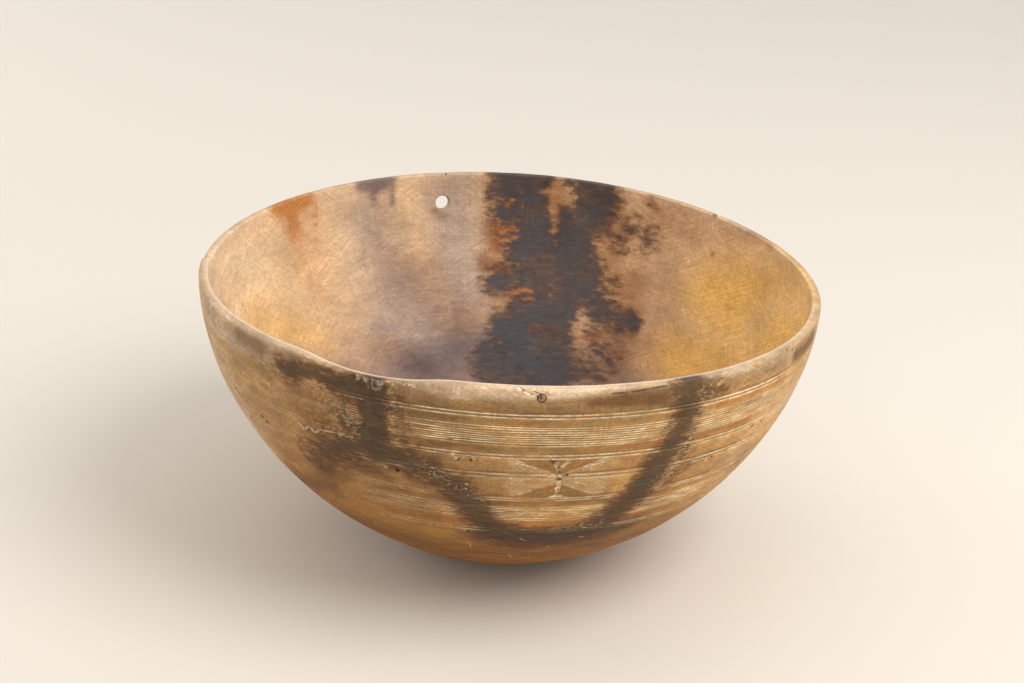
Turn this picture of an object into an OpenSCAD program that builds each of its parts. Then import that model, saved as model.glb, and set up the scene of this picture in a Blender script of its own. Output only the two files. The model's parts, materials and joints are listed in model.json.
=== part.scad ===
// Old turned dough bowl: one piece of hardwood, with a small round plug close under the rim.
// Millimetres, +Z up. The origin is the middle of the flat foot, on the table.
// A direction is given in degrees from the front (-Y), positive towards the right (+X).

/* [Bowl] */
// Outside radius at the rim
rim_r = 200; // [150:1:250]
// Mean height of the rim above the table
rim_h = 188.6; // [140:0.2:240]
// Radius of the flat foot
foot_r = 37.5; // [24:0.5:60]
// Height of the upright strip of wall under the mean rim
upright_h = 4.5; // [2:0.5:12]
// Power of the wall's curve: 2 is an ellipse, and less is flatter in the middle
curve_power = 1.82; // [1.6:0.02:2.4]

/* [Hollow] */
// Thickness of the wall at the lip
lip_t = 6; // [4:0.5:9]
// Thickness of the wood under the middle of the hollow
floor_t = 15; // [9:0.5:24]

/* [Warped rim] */
// How much lower the rim stands at its two sides than at the front and back
rim_sag = 5; // [2:0.5:12]
// Rise of the rim at the front, over its mean height
front_rise = 2; // [0:0.5:6]
// Fall of the rim at the right, under its mean height
right_fall = 2.1; // [0:0.1:6]

/* [Worn rim] */
// Direction of the long worn dip
dip_az = -24; // [-45:1:-15]
// Length of the dip along the rim
dip_w = 90; // [50:1:120]
// Depth of the dip
dip_depth = 4.5; // [1:0.5:8]
// Direction of the notch at the back right
right_nick_az = 133; // [110:1:150]
// Direction of the notch at the left
left_nick_az = -89; // [-105:1:-75]
// Width of each notch
nick_w = 6; // [3:0.5:10]
// Depth of each notch
nick_depth = 3; // [1:0.5:6]

/* [Turned lines] */
// Width of one turned line
line_w = 1.8; // [1:0.1:3]
// Depth of one turned line
line_depth = 0.6; // [0.2:0.1:0.8]
// Distance between the two lines of a pair
line_gap = 3; // [2.5:0.5:5]
// Drop of the first pair under the mean rim
first_drop = 16; // [13:0.5:24]
// Drop of the second pair
second_drop = 43.5; // [36:0.5:46]
// Drop of the third pair
third_drop = 57.5; // [54:0.5:64]
// Drop of the fourth pair
fourth_drop = 76.5; // [72:0.5:86]
// Drop of the fifth pair
fifth_drop = 106; // [98:0.5:114]

/* [Carved cross] */
// Direction of the cross, which stands between the second and fourth pairs
cross_az = 10; // [0:1:20]
// Width of the cross across its ends
cross_w = 8.5; // [6:0.5:14]
// Width of one gouge
gouge_w = 2; // [1:0.25:3]
// Depth of the gouges at the middle of the cross
gouge_depth = 1.5; // [1:0.1:2]

/* [Hanging hole] */
// Direction of the hole
hang_az = -164; // [-175:1:-150]
// Drop of the hole's middle under the rim beside it
hang_drop = 22.5; // [20:0.5:30]
// Radius of the hole
hang_r = 5; // [3:0.25:6]

/* [Rim plug] */
// Direction of the plug
plug_az = 6; // [0:1:12]
// Drop of the plug's middle under the rim beside it
plug_drop = 5.6; // [4.6:0.2:7]
// Radius of the plug
plug_r = 2.7; // [1.5:0.1:3]
// How far its domed face stands out of the wall
plug_proud = 0.6; // [0.2:0.1:1]
// Gap between the plug and its hole, on the radius
plug_clearance = 0.05; // [0.01:0.01:0.1]

/* [Hidden] */
$fn = 240;

// Cuts run past the wood by this much
overrun = 3;
// Straight steps along each curve of the wall
curve_steps = 44;

// Height at which the wall's curve ends and its upright strip starts
shoulder_h = rim_h - upright_h;
// Depth of the outside curve, so that it meets the table at the foot's edge
outer_depth = shoulder_h / pow(1 - pow(foot_r / rim_r, curve_power), 1 / curve_power);
inner_r = rim_r - lip_t;
inner_depth = shoulder_h - floor_t;

// The rim lies on the back of a large cylinder, which leans to the front
saddle_r = rim_r * rim_r / (2 * rim_sag);
saddle_x = -right_fall * rim_r / (2 * rim_sag);
crest_h = rim_h + rim_sag / 2 + right_fall * right_fall / (4 * rim_sag);
front_lean = atan(front_rise / rim_r);
blank_h = crest_h + front_rise + overrun;

// The dip is an arc of its own radius, and reaches in past the curved wall
dip_r = (dip_w * dip_w / 4 + dip_depth * dip_depth) / (2 * dip_depth);
dip_reach = rim_r - sqrt(rim_r * rim_r - dip_w * dip_w / 4) + lip_t + overrun;

// A turned line is a round cut of this radius, sunk to its depth
line_r = (line_w * line_w / 4 + line_depth * line_depth) / (2 * line_depth);
pair_drops = [first_drop, second_drop, third_drop, fourth_drop, fifth_drop];

// The cross fills the band between the second and fourth pairs
cross_top = rim_h - second_drop - line_gap;
cross_foot = rim_h - fourth_drop;
cross_h = cross_top - cross_foot;
cross_z = (cross_top + cross_foot) / 2;
cross_lean = atan(cross_w / cross_h);
cross_arm = sqrt(cross_w * cross_w + cross_h * cross_h);

hang_z = rim_z(hang_az) - hang_drop;
plug_z = rim_z(plug_az) - plug_drop;
dome_r = (plug_r * plug_r + plug_proud * plug_proud) / (2 * plug_proud);

// Height of the rim in one direction
function rim_z(az) = rim_h + rim_sag / 2 * cos(2 * az) + front_rise * cos(az) - right_fall * sin(az);

// Point of a wall curve at a parameter angle: 0 at the bottom, 90 at the shoulder
function curve_point(r, depth, t) = [
    r * pow(sin(t), 2 / curve_power),
    shoulder_h - depth * pow(cos(t), 2 / curve_power)
];

// Parameter angle at which a curve has one radius
function curve_angle(r, at_r) = asin(pow(at_r / r, curve_power / 2));

// Outside radius of the wall at one height
function outer_r(z) =
    z >= shoulder_h ? rim_r
    : rim_r * pow(1 - pow((shoulder_h - z) / outer_depth, curve_power), 1 / curve_power);

// Angle by which the wall faces down at one height
function wall_lean(z) =
    z >= shoulder_h ? 0
    : atan(rim_r / outer_depth
        * pow((shoulder_h - z) / outer_depth * rim_r / outer_r(z), curve_power - 1));

// Puts a shape on the outside of the wall, with its +Z out of the wood and its +Y up
module on_wall(az, z) {
    rotate([0, 0, az])
        translate([0, -outer_r(z), z])
            rotate([90 + wall_lean(z), 0, 0])
                children();
}

// Half section of the wall, from the foot up the outside and down the inside
module wall_section() {
    foot_t = curve_angle(rim_r, foot_r);
    outside = [for (i = [0:curve_steps])
        curve_point(rim_r, outer_depth, foot_t + (90 - foot_t) * i / curve_steps)];
    inside = [for (i = [curve_steps:-1:0])
        curve_point(inner_r, inner_depth, 90 * i / curve_steps)];
    polygon(concat([[0, 0]], outside, [[rim_r, blank_h], [inner_r, blank_h]], inside));
}

// Section of one turned line
module line_section(z) {
    lean = wall_lean(z);
    out = line_r - line_depth;
    translate([outer_r(z) + out * cos(lean), z - out * sin(lean)])
        circle(r = line_r, $fn = 48);
}

// The turned blank: wall, hollow and line pairs, taller than the rim
module turned_blank() {
    rotate_extrude()
        difference() {
            wall_section();
            for (drop = pair_drops) {
                line_section(rim_h - drop);
                line_section(rim_h - drop - line_gap);
            }
        }
}

// All the wood under the warped rim
module under_rim() {
    translate([saddle_x, 0, crest_h])
        rotate([-front_lean, 0, 0])
            translate([0, 0, -saddle_r])
                rotate([90, 0, 0])
                    cylinder(r = saddle_r, h = 4 * rim_r, center = true, $fn = 1440);
}

// Long shallow dip worn into the rim
module rim_dip() {
    rotate([0, 0, dip_az])
        translate([0, dip_reach - rim_r, rim_z(dip_az) - dip_depth + dip_r])
            rotate([90, 0, 0])
                cylinder(r = dip_r, h = dip_reach + overrun);
}

// Notch broken out of the lip
module rim_nick(az) {
    top_share = (nick_depth + overrun) / nick_depth;
    rotate([0, 0, az])
        translate([0, lip_t + overrun - rim_r, rim_z(az)])
            rotate([90, 0, 0])
                linear_extrude(height = lip_t + 2 * overrun)
                    polygon([
                        [0, -nick_depth],
                        [nick_w / 2 * top_share, overrun],
                        [-nick_w / 2 * top_share, overrun]
                    ]);
}

// Two gouges that cross, cut with a square corner
module carved_cross() {
    on_wall(cross_az, cross_z)
        for (side = [-1, 1])
            rotate([0, 0, side * cross_lean])
                rotate([90, 0, 0])
                    linear_extrude(height = cross_arm, center = true)
                        polygon([
                            [0, -gouge_depth],
                            [gouge_w, gouge_depth],
                            [-gouge_w, gouge_depth]
                        ]);
}

// Round cut through the wall, along the wall's own normal
module wall_bore(az, z, r) {
    on_wall(az, z)
        cylinder(r = r, h = 2 * (2 * lip_t + overrun), center = true);
}

module bowl_body() {
    color([0.66, 0.48, 0.31])
        difference() {
            intersection() {
                turned_blank();
                under_rim();
            }
            rim_dip();
            rim_nick(right_nick_az);
            rim_nick(left_nick_az);
            carved_cross();
            wall_bore(hang_az, hang_z, hang_r);
            wall_bore(plug_az, plug_z, plug_r + plug_clearance);
        }
}

// Round wooden plug through the wall, flush inside and domed outside
module rim_plug() {
    color([0.40, 0.34, 0.29])
        on_wall(plug_az, plug_z)
            union() {
                translate([0, 0, -lip_t])
                    cylinder(r = plug_r, h = lip_t);
                intersection() {
                    cylinder(r = plug_r, h = plug_proud);
                    translate([0, 0, plug_proud - dome_r])
                        sphere(r = dome_r);
                }
            }
}

bowl_body();
rim_plug();
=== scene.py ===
"""Old turned dough bowl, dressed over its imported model.

The bowl is one thick turned shell of hardwood. Its rim has warped and worn, bands of turned
lines run round it under the rim, a cross is cut between two hatched leaves on the front, and
smoke, oil and handling have stained it. A hanging hole goes through the back of the wall, and
a small round plug fills another hole close under the rim.

Lengths are in metres unless a name or a note says otherwise. A direction is given in degrees
from the front (-Y), positive towards the right (+X). A drop is measured down from the rim.
"""

import json
import logging
import math
import random
from dataclasses import dataclass, field
from enum import Enum

import bmesh
import bpy
import numpy as np
from bmesh.types import BMesh, BMVert
from bpy.types import Material, Mesh, Node, NodeSocket, NodeTree, Object
from mathutils import Euler, Matrix, Vector


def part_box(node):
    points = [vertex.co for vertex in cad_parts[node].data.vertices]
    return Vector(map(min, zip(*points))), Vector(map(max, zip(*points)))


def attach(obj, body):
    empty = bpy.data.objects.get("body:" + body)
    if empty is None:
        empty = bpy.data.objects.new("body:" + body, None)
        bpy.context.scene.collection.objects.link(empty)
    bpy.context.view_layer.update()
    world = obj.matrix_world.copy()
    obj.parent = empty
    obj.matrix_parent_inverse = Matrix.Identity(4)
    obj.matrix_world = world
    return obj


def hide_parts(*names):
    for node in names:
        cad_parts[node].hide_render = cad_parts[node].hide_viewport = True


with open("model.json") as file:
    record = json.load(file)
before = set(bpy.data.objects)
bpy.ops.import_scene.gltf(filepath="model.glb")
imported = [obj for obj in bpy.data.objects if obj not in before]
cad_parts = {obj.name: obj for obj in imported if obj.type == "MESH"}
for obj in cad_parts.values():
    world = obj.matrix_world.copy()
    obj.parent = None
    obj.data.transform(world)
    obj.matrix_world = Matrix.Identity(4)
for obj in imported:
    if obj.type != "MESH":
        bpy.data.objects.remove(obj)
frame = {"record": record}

Array = np.ndarray
LOG = logging.getLogger("dough_bowl")
MM = 0.001
BODY = "root"
BOWL_NODE = "bowl_body"
PLUG_NODE = "rim_plug"
HOLE_MOUNT = "hanging_hole"
# What lies this close to a level counts as on it
NEAR = 0.5 * MM
# Edges flatter than this are shaded smooth
SMOOTH_UNDER = math.radians(50)
# The lathe's axis, for a spin
AXIS = {"cent": (0, 0, 0), "axis": (0, 0, 1)}
# The colour ramps run down this far, in mm
RAMP_MM = 200
# A stroke's path is followed in steps no longer than this, in degrees and in mm
STROKE_STEPS = (3, 10)


class Side(Enum):
    """The two faces of the wall."""

    OUTSIDE = 0.0
    INSIDE = 1.0


class Stain(Enum):
    """What has coloured or worn the wood, and some painted light laid in the same colours. Each is
    a point attribute of the shell.
    """

    ASH = "ash"
    AMBER = "amber"
    RUST = "rust"
    PLUM = "plum"
    SMOKE = "smoke"
    CREAM = "cream"
    SOOT = "soot"
    CRUMB = "crumb"


def srgb(code: str) -> tuple[float, float, float, float]:
    """Turns an sRGB hex colour into linear red, green, blue and alpha.

    Args:
        code: the colour, as "#rrggbb".

    Returns:
        The four channels for a shader socket.
    """
    linear = []
    for start in (1, 3, 5):
        channel = int(code[start : start + 2], 16) / 255
        linear.append(channel / 12.92 if channel <= 0.04045 else ((channel + 0.055) / 1.055) ** 2.4)
    return (*linear, 1.0)


def add(tree: NodeTree, kind: str, inputs: dict | tuple = (), **settings) -> Node:
    """Adds a shader node with its settings and its links.

    Args:
        tree: the material's node tree.
        kind: the node's type, without its ShaderNode prefix.
        inputs: a value, or a node or socket to link, for each socket that is named, or in a
            tuple for each of the first ones.
        settings: properties of the node itself.

    Returns:
        The new node.
    """
    node = tree.nodes.new("ShaderNode" + kind)
    for name, value in settings.items():
        setattr(node, name, value)
    for key, value in inputs.items() if isinstance(inputs, dict) else enumerate(inputs):
        if isinstance(value, Node):
            value = value.outputs[0]
        if isinstance(value, NodeSocket):
            tree.links.new(value, node.inputs[key])
        else:
            node.inputs[key].default_value = value
    return node


def new_material(name: str) -> Material:
    """Makes an empty node material.

    Args:
        name: what it is called.

    Returns:
        The material.
    """
    material = bpy.data.materials.new(name)
    material.use_nodes = True
    material.node_tree.nodes.clear()
    return material


def new_object(mesh: BMesh, name: str) -> Object:
    """Makes a smooth-shaded object at the origin from a bmesh, which it frees.

    Args:
        mesh: the finished shape, in the row frame.
        name: the piece's name.

    Returns:
        The new object, in the scene.
    """
    data = bpy.data.meshes.new(name)
    for face in mesh.faces:
        face.smooth = True
    mesh.to_mesh(data)
    mesh.free()
    piece = bpy.data.objects.new(name, data)
    bpy.context.scene.collection.objects.link(piece)
    return piece


def rise(value: Array, start: float, span: float) -> Array:
    """Goes from 0 at a start to 1 at the far end of a span, which may run either way."""
    return np.clip((value - start) / span, 0, 1)


def az_of(turn: Array) -> Array:
    """Directions in degrees, from -180 to 180, of any directions in radians."""
    return np.degrees(np.angle(np.exp(1j * turn)))


def turn_outline(mesh: BMesh, outline: list[tuple[float, float]], steps: int) -> list[BMVert]:
    """Turns an outline of radii and heights once round and closes it.

    Args:
        mesh: where the solid is made, beside what it holds.
        outline: from one point on the axis to another.
        steps: number of sides.

    Returns:
        The solid's points.
    """
    before = set(mesh.verts)
    section = [mesh.verts.new((r, 0, z)) for r, z in outline]
    chain = section + [mesh.edges.new(pair) for pair in zip(section, section[1:])]
    bmesh.ops.spin(mesh, geom=chain, angle=2 * math.pi, steps=steps, use_merge=True, **AXIS)
    made = [vert for vert in mesh.verts if vert not in before]
    bmesh.ops.remove_doubles(mesh, verts=made, dist=0.01 * MM)
    made = [vert for vert in mesh.verts if vert not in before]
    faces = list({face for vert in made for face in vert.link_faces})
    bmesh.ops.recalc_face_normals(mesh, faces=faces)
    return made


def facing_out(turn: float, r: float, z: float) -> Matrix:
    """A frame at a direction in radians, a radius and a height, with its -Y outwards."""
    foot = Matrix.Translation((r * math.sin(turn), -r * math.cos(turn), z))
    return foot @ Matrix.Rotation(turn, 4, "Z")


def between(value: Array, start: float, end: float, fade_in: float, fade_out: float) -> Array:
    """How far values lie between two others, from 0 to 1, with soft ends inside them."""
    return rise(value, start, fade_in) * rise(value, end, -fade_out)


@dataclass(frozen=True)
class Swell:
    """Seeded waves that close on themselves round the bowl, for what is never quite even.

    Attributes:
        seed: picks the waves.
        around: most waves in one turn.
        down: shortest wave down the wall.
        count: how many waves are added up.
    """

    seed: int
    around: int
    down: float
    count: int = 14

    def __call__(self, turn: Array, drop: Array) -> Array:
        """Adds the waves up.

        Args:
            turn: directions in radians.
            drop: drops.

        Returns:
            The swell, about -1 to 1.
        """
        draw = random.Random(self.seed)
        total = np.zeros_like(turn)
        for _ in range(self.count):
            waves = draw.randint(1, self.around)
            down = draw.uniform(-1, 1) * 2 * math.pi / self.down
            total = total + np.sin(waves * turn + down * drop + draw.uniform(0, 2 * math.pi))
        return total / math.sqrt(2 * self.count)


@dataclass(frozen=True)
class Wall:
    """The two curves of the turned wall, and how its rim has warped and worn.

    Attributes:
        rim_r: outside radius at the rim.
        rim_h: mean height of the rim.
        foot_r: radius of the flat foot.
        upright_h: height of the upright strip under the rim.
        curve_power: power of the wall's curve.
        lip_t: thickness at the lip.
        floor_t: thickness under the hollow.
        rim_sag: how much lower the rim stands at its sides.
        front_rise: rise of the rim at the front.
        right_fall: fall of the rim at the right.
        dip_az: direction of the long worn dip, in degrees.
        dip_w: length of the dip.
        dip_depth: depth of the dip.
        dip_fade: drop at which the dip has died out.
        dip_round: how gently the dip runs out at its ends.
        step_az: direction of the left notch, behind which the rim stands lower.
        step_depth: how much lower it stands there.
        step_reach: degrees over which it comes back up.
    """

    rim_r: float
    rim_h: float = 188.6 * MM
    foot_r: float = 37.5 * MM
    upright_h: float = 4.5 * MM
    curve_power: float = 1.82
    lip_t: float = 6 * MM
    floor_t: float = 15 * MM
    rim_sag: float = 5 * MM
    front_rise: float = 2 * MM
    right_fall: float = 2.1 * MM
    dip_az: float = -24
    dip_w: float = 90 * MM
    dip_depth: float = 4.5 * MM
    dip_fade: float = 14 * MM
    dip_round: float = 1.2 * MM
    step_az: float = -88.5
    step_depth: float = 3.2 * MM
    step_reach: float = 13

    @property
    def shoulder_h(self) -> float:
        """Height at which the curve ends and the upright strip starts."""
        return self.rim_h - self.upright_h

    @property
    def outer_depth(self) -> float:
        """Depth of the outside curve, which meets the table at the foot's edge."""
        power = self.curve_power
        return self.shoulder_h / (1 - (self.foot_r / self.rim_r) ** power) ** (1 / power)

    @property
    def inner_depth(self) -> float:
        """Depth of the hollow's curve."""
        return self.shoulder_h - self.floor_t

    def depth(self, side: Side) -> float:
        """Depth of one side's curve."""
        return self.outer_depth if side is Side.OUTSIDE else self.inner_depth

    def radius(self, side: Side, z: Array) -> Array:
        """Radius of one side of the wall.

        Args:
            side: which side.
            z: heights.

        Returns:
            The radii.
        """
        rim_r = self.rim_r if side is Side.OUTSIDE else self.rim_r - self.lip_t
        down = np.clip((self.shoulder_h - z) / self.depth(side), 0, 1)
        return rim_r * (1 - down**self.curve_power) ** (1 / self.curve_power)

    def heights(self, side: Side, high: float, low: float, count: int) -> list[float]:
        """Heights down one curve, evenly spaced in the curve's own angle.

        Args:
            side: which curve.
            high: the first height.
            low: the last height.
            count: number of steps.

        Returns:
            The heights, both ends included.
        """
        depth, power = self.depth(side), self.curve_power
        first, last = (
            math.acos(min((self.shoulder_h - z) / depth, 1) ** (power / 2)) for z in (high, low)
        )
        angles = [first + (last - first) * i / count for i in range(count + 1)]
        return [self.shoulder_h - depth * math.cos(angle) ** (2 / power) for angle in angles]

    def lift(self, turn: Array) -> Array:
        """How far the rim stands over its mean height, at directions in radians."""
        sag = self.rim_sag / 2 * np.cos(2 * turn)
        return sag + self.front_rise * np.cos(turn) - self.right_fall * np.sin(turn)

    def worn(self, turn: Array) -> Array:
        """How far the long dip and the left notch have lowered the rim.

        Args:
            turn: directions in radians.

        Returns:
            The distances.
        """
        behind = np.clip(self.step_az - az_of(turn), 0, None)
        step = self.step_depth * np.exp(-behind / self.step_reach) * np.clip(behind, 0, 1)
        radius = (self.dip_w**2 / 4 + self.dip_depth**2) / (2 * self.dip_depth)
        middle = math.radians(self.dip_az)
        along = self.rim_r * np.sin(turn - middle)
        bottom = self.lift(middle) - self.dip_depth + along**2 / (2 * radius)
        over = self.lift(turn) - bottom
        dip = (over + np.sqrt(over**2 + self.dip_round**2)) / 2
        return step + np.where(np.cos(turn - middle) > 0, dip, 0)

    def settled(self, turn: Array, z: Array) -> Array:
        """Heights on the warped and worn wall of heights on the turned one.

        Args:
            turn: directions in radians.
            z: heights before the wood moved.

        Returns:
            The heights now.
        """
        up = rise(z, self.floor_t, self.rim_h - self.floor_t)
        near_rim = rise(z, self.rim_h - self.dip_fade, self.dip_fade) ** 1.5
        return z + self.lift(turn) * (1 - (1 - up) ** 2) - self.worn(turn) * near_rim

    def turned(self, turn: Array, z: Array, rounds: int = 8) -> Array:
        """Heights on the turned wall of heights on the warped one.

        Args:
            turn: directions in radians.
            z: heights now.
            rounds: how often the guess is bettered.

        Returns:
            The heights before the wood moved.
        """
        before = z.copy()
        for _ in range(rounds):
            before += z - self.settled(turn, before)
        return before

    def points(self, side: Side, az: Array, drop: Array) -> Array:
        """Points of the warped wall.

        Args:
            side: the side that they lie on.
            az: directions in degrees.
            drop: drops under the rim there.

        Returns:
            The points.
        """
        turn = np.radians(az)
        z = self.rim_h + self.lift(turn) - drop
        r = self.radius(side, z)
        return np.stack([r * np.sin(turn), -r * np.cos(turn), z], -1)

    def girth_drop(self, inside: Array, z: Array, r: Array, count: int = 160) -> Array:
        """Distance down along the wall from the rim, so that marks keep their size on the flat.

        Args:
            inside: 1 for points in the hollow, 0 for points outside.
            z: their heights.
            r: their radii.
            count: straight steps that stand for each curve.

        Returns:
            The distances.
        """
        spans = []
        for side, low in ((Side.OUTSIDE, 0.0), (Side.INSIDE, self.floor_t)):
            heights = np.array(self.heights(side, self.shoulder_h, low, count))
            radii = self.radius(side, heights)
            steps = np.hypot(np.diff(heights), np.diff(radii))
            run = np.concatenate([[0], np.cumsum(steps)]) + self.upright_h
            spans.append(np.interp(-z, -heights, run) - np.clip(z - self.shoulder_h, 0, None))
        flat = np.where(z < NEAR, self.foot_r - r, 0).clip(0)
        return np.where(inside > 0.5, spans[1], spans[0] + flat)

    def seat(self, az: float, drop: float) -> Matrix:
        """A frame on the outside of the wall: +Z out of the wood and +Y up the wall.

        Args:
            az: direction in degrees.
            drop: drop under the rim there.

        Returns:
            The frame's matrix.
        """
        middle, high, low = (
            Vector(self.points(Side.OUTSIDE, np.array(az), np.array(drop + shift)))
            for shift in (0, -MM, MM)
        )
        up = (high - low).normalized()
        across = Vector((math.cos(math.radians(az)), math.sin(math.radians(az)), 0))
        out = across.cross(up)
        return Matrix.Translation(middle) @ Matrix((across, up, out)).transposed().to_4x4()


@dataclass(frozen=True)
class FineBand:
    """A band of fine lines, scratched close together while the bowl turned.

    The real lines lie a little closer than the pitch here. Finer ones don't show in the
    picture, so they are drawn as coarse as they need to be.

    Attributes:
        top: drop of its upper edge.
        bottom: drop of its lower edge.
        pitch: distance from one line to the next.
        depth: depth of a line.
    """

    top: float
    bottom: float
    pitch: float = 1.5 * MM
    depth: float = 0.22 * MM


@dataclass(frozen=True)
class Strip:
    """A plain strip of the outside between two bands, a little lower than them.

    Attributes:
        top: drop of its upper edge.
        bottom: drop of its lower edge.
        depth: how much lower it lies.
    """

    top: float
    bottom: float
    depth: float = 0.25 * MM


@dataclass(frozen=True)
class Gouge:
    """One furrow of a knife or chisel on the outside.

    Attributes:
        start: direction in degrees and drop in mm of one end.
        end: the same of the other end.
        half_w: half its width in mm.
        depth: its depth in mm.
        fresh: how far it shows light wood.
        dirt: how far dirt fills it.
    """

    start: tuple[float, float]
    end: tuple[float, float]
    half_w: float
    depth: float
    fresh: float
    dirt: float = 0.0


@dataclass(frozen=True)
class RoughCut:
    """A furrow chipped out of the outside with many small strokes of a blade.

    Attributes:
        path: stations, each a direction in degrees, a drop in mm and a half width in mm.
        depth: how deep the chips go, in mm.
        fresh: how far they show light wood.
        dirt: share of them that dirt has filled.
        degree_mm: length of one degree round the wall, in mm.
        spacing: distance from chip to chip, as a share of their width.
    """

    path: tuple[tuple[float, float, float], ...]
    depth: float
    fresh: float
    dirt: float
    degree_mm: float = 3.3
    spacing: float = 0.45

    def chips(self) -> list[tuple[float, float, float]]:
        """Places the chips so close that they run into each other.

        Returns:
            A station for each chip.
        """
        places = [self.path[0]]
        for first, last in zip(self.path, self.path[1:]):
            length = math.hypot((last[0] - first[0]) * self.degree_mm, last[1] - first[1])
            steps = max(1, round(length / (self.spacing * (first[2] + last[2]))))
            for i in range(1, steps + 1):
                places.append(tuple(a + (b - a) * i / steps for a, b in zip(first, last)))
        return places


@dataclass(frozen=True)
class Nick:
    """A notch broken out of the lip, cut by a wedge that stands in it.

    Attributes:
        az: direction in degrees.
        half_w: half its width at the rim, in mm.
        depth: its depth in mm.
        skew: how far its bottom lies to one side, in mm.
        bottom: width of the wedge's lower end, as a share of the notch's.
        top: width of its upper end, as a share of the notch's.
    """

    az: float
    half_w: float
    depth: float
    skew: float
    bottom: float = 0.12
    top: float = 1.9


@dataclass
class CutterLots:
    """Cutters sorted into lots, so that no two lumps of one lot touch.

    Attributes:
        lots: the lots, each a mesh of separate lumps.
        spans: for each lot, the middle and the reach of its lumps.
    """

    lots: list[BMesh] = field(default_factory=list)
    spans: list[list[tuple[Vector, float]]] = field(default_factory=list)

    def lot(self, middle: Vector, reach: float) -> BMesh:
        """Finds or starts a lot in which a lump touches nothing.

        Args:
            middle: the lump's middle.
            reach: radius of a ball that holds it.

        Returns:
            The lot to add the lump to.
        """
        for tools, taken in zip(self.lots, self.spans):
            if all((middle - place).length > reach + other for place, other in taken):
                taken.append((middle, reach))
                return tools
        tools = bmesh.new()
        for kind in ("fresh", "dirt"):
            tools.faces.layers.float.new(kind)
        self.lots.append(tools)
        self.spans.append([(middle, reach)])
        return tools


@dataclass(frozen=True)
class Pit:
    """A small round hole in the outside, from a beetle or a lost knot.

    Attributes:
        az: direction in degrees.
        drop: drop in mm.
        radius: radius in mm.
        depth: depth in mm.
        fresh: how far it shows light wood.
        dirt: how far dirt fills it.
    """

    az: float
    drop: float
    radius: float
    depth: float
    fresh: float = 0.0
    dirt: float = 0.85


@dataclass(frozen=True)
class Stroke:
    """One touch of a stain: a soft-edged band through listed stations.

    Attributes:
        stain: what it lays down.
        side: the side of the wall that it lies on.
        path: stations, each a direction in degrees, a drop in mm and a half width in mm.
        strength: how much it covers, or, below zero, how much it takes off.
        fade: width in mm over which its edge fades.
    """

    stain: Stain
    side: Side
    path: tuple[tuple[float, float, float], ...]
    strength: float
    fade: float

    def stations(self, wall: Wall) -> tuple[Array, Array]:
        """Points on the wall along the stroke, close enough to follow its curve.

        Args:
            wall: the wall that it lies on.

        Returns:
            The points, and the stroke's half width at each.
        """
        places = [np.array(self.path[0], float)]
        for first, last in zip(self.path, self.path[1:]):
            first, last = np.array(first, float), np.array(last, float)
            spans = [abs(last[i] - first[i]) / step for i, step in enumerate(STROKE_STEPS)]
            steps = max(1, math.ceil(max(spans)))
            places += [first + (last - first) * i / steps for i in range(1, steps + 1)]
        az, drop, half_w = np.array(places).T
        return wall.points(self.side, az, drop * MM), half_w * MM

    def cover(self, points: Array, wall: Wall) -> Array:
        """How far the stroke covers points.

        Args:
            points: the points.
            wall: the wall that it lies on.

        Returns:
            The covers, from 0 to 1.
        """
        stations, half_w = self.stations(wall)
        reach = half_w.max() + self.fade * MM
        near = np.all((points > stations.min(0) - reach) & (points < stations.max(0) + reach), 1)
        place = points[near]
        gap = np.linalg.norm(place - stations[0], axis=1) - half_w[0]
        for i in range(len(stations) - 1):
            along = stations[i + 1] - stations[i]
            share = np.clip((place - stations[i]) @ along / max(along @ along, 1e-12), 0, 1)
            away = np.linalg.norm(place - stations[i] - share[:, None] * along, axis=1)
            gap = np.minimum(gap, away - half_w[i] - share * (half_w[i + 1] - half_w[i]))
        covered = np.zeros(len(points))
        covered[near] = np.clip(0.5 - gap / (self.fade * MM), 0, 1)
        return covered


def strokes(stain: Stain, side: Side, *touches: tuple) -> tuple[Stroke, ...]:
    """Strokes of one stain on one side of the wall.

    Args:
        stain: what they lay down.
        side: the side that they lie on.
        touches: for each stroke its strength, its fade in mm and then its stations.

    Returns:
        The strokes, in the same order.
    """
    made = []
    for strength, fade, *path in touches:
        made.append(Stroke(stain, side, tuple(path), strength, fade))
    return tuple(made)


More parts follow.
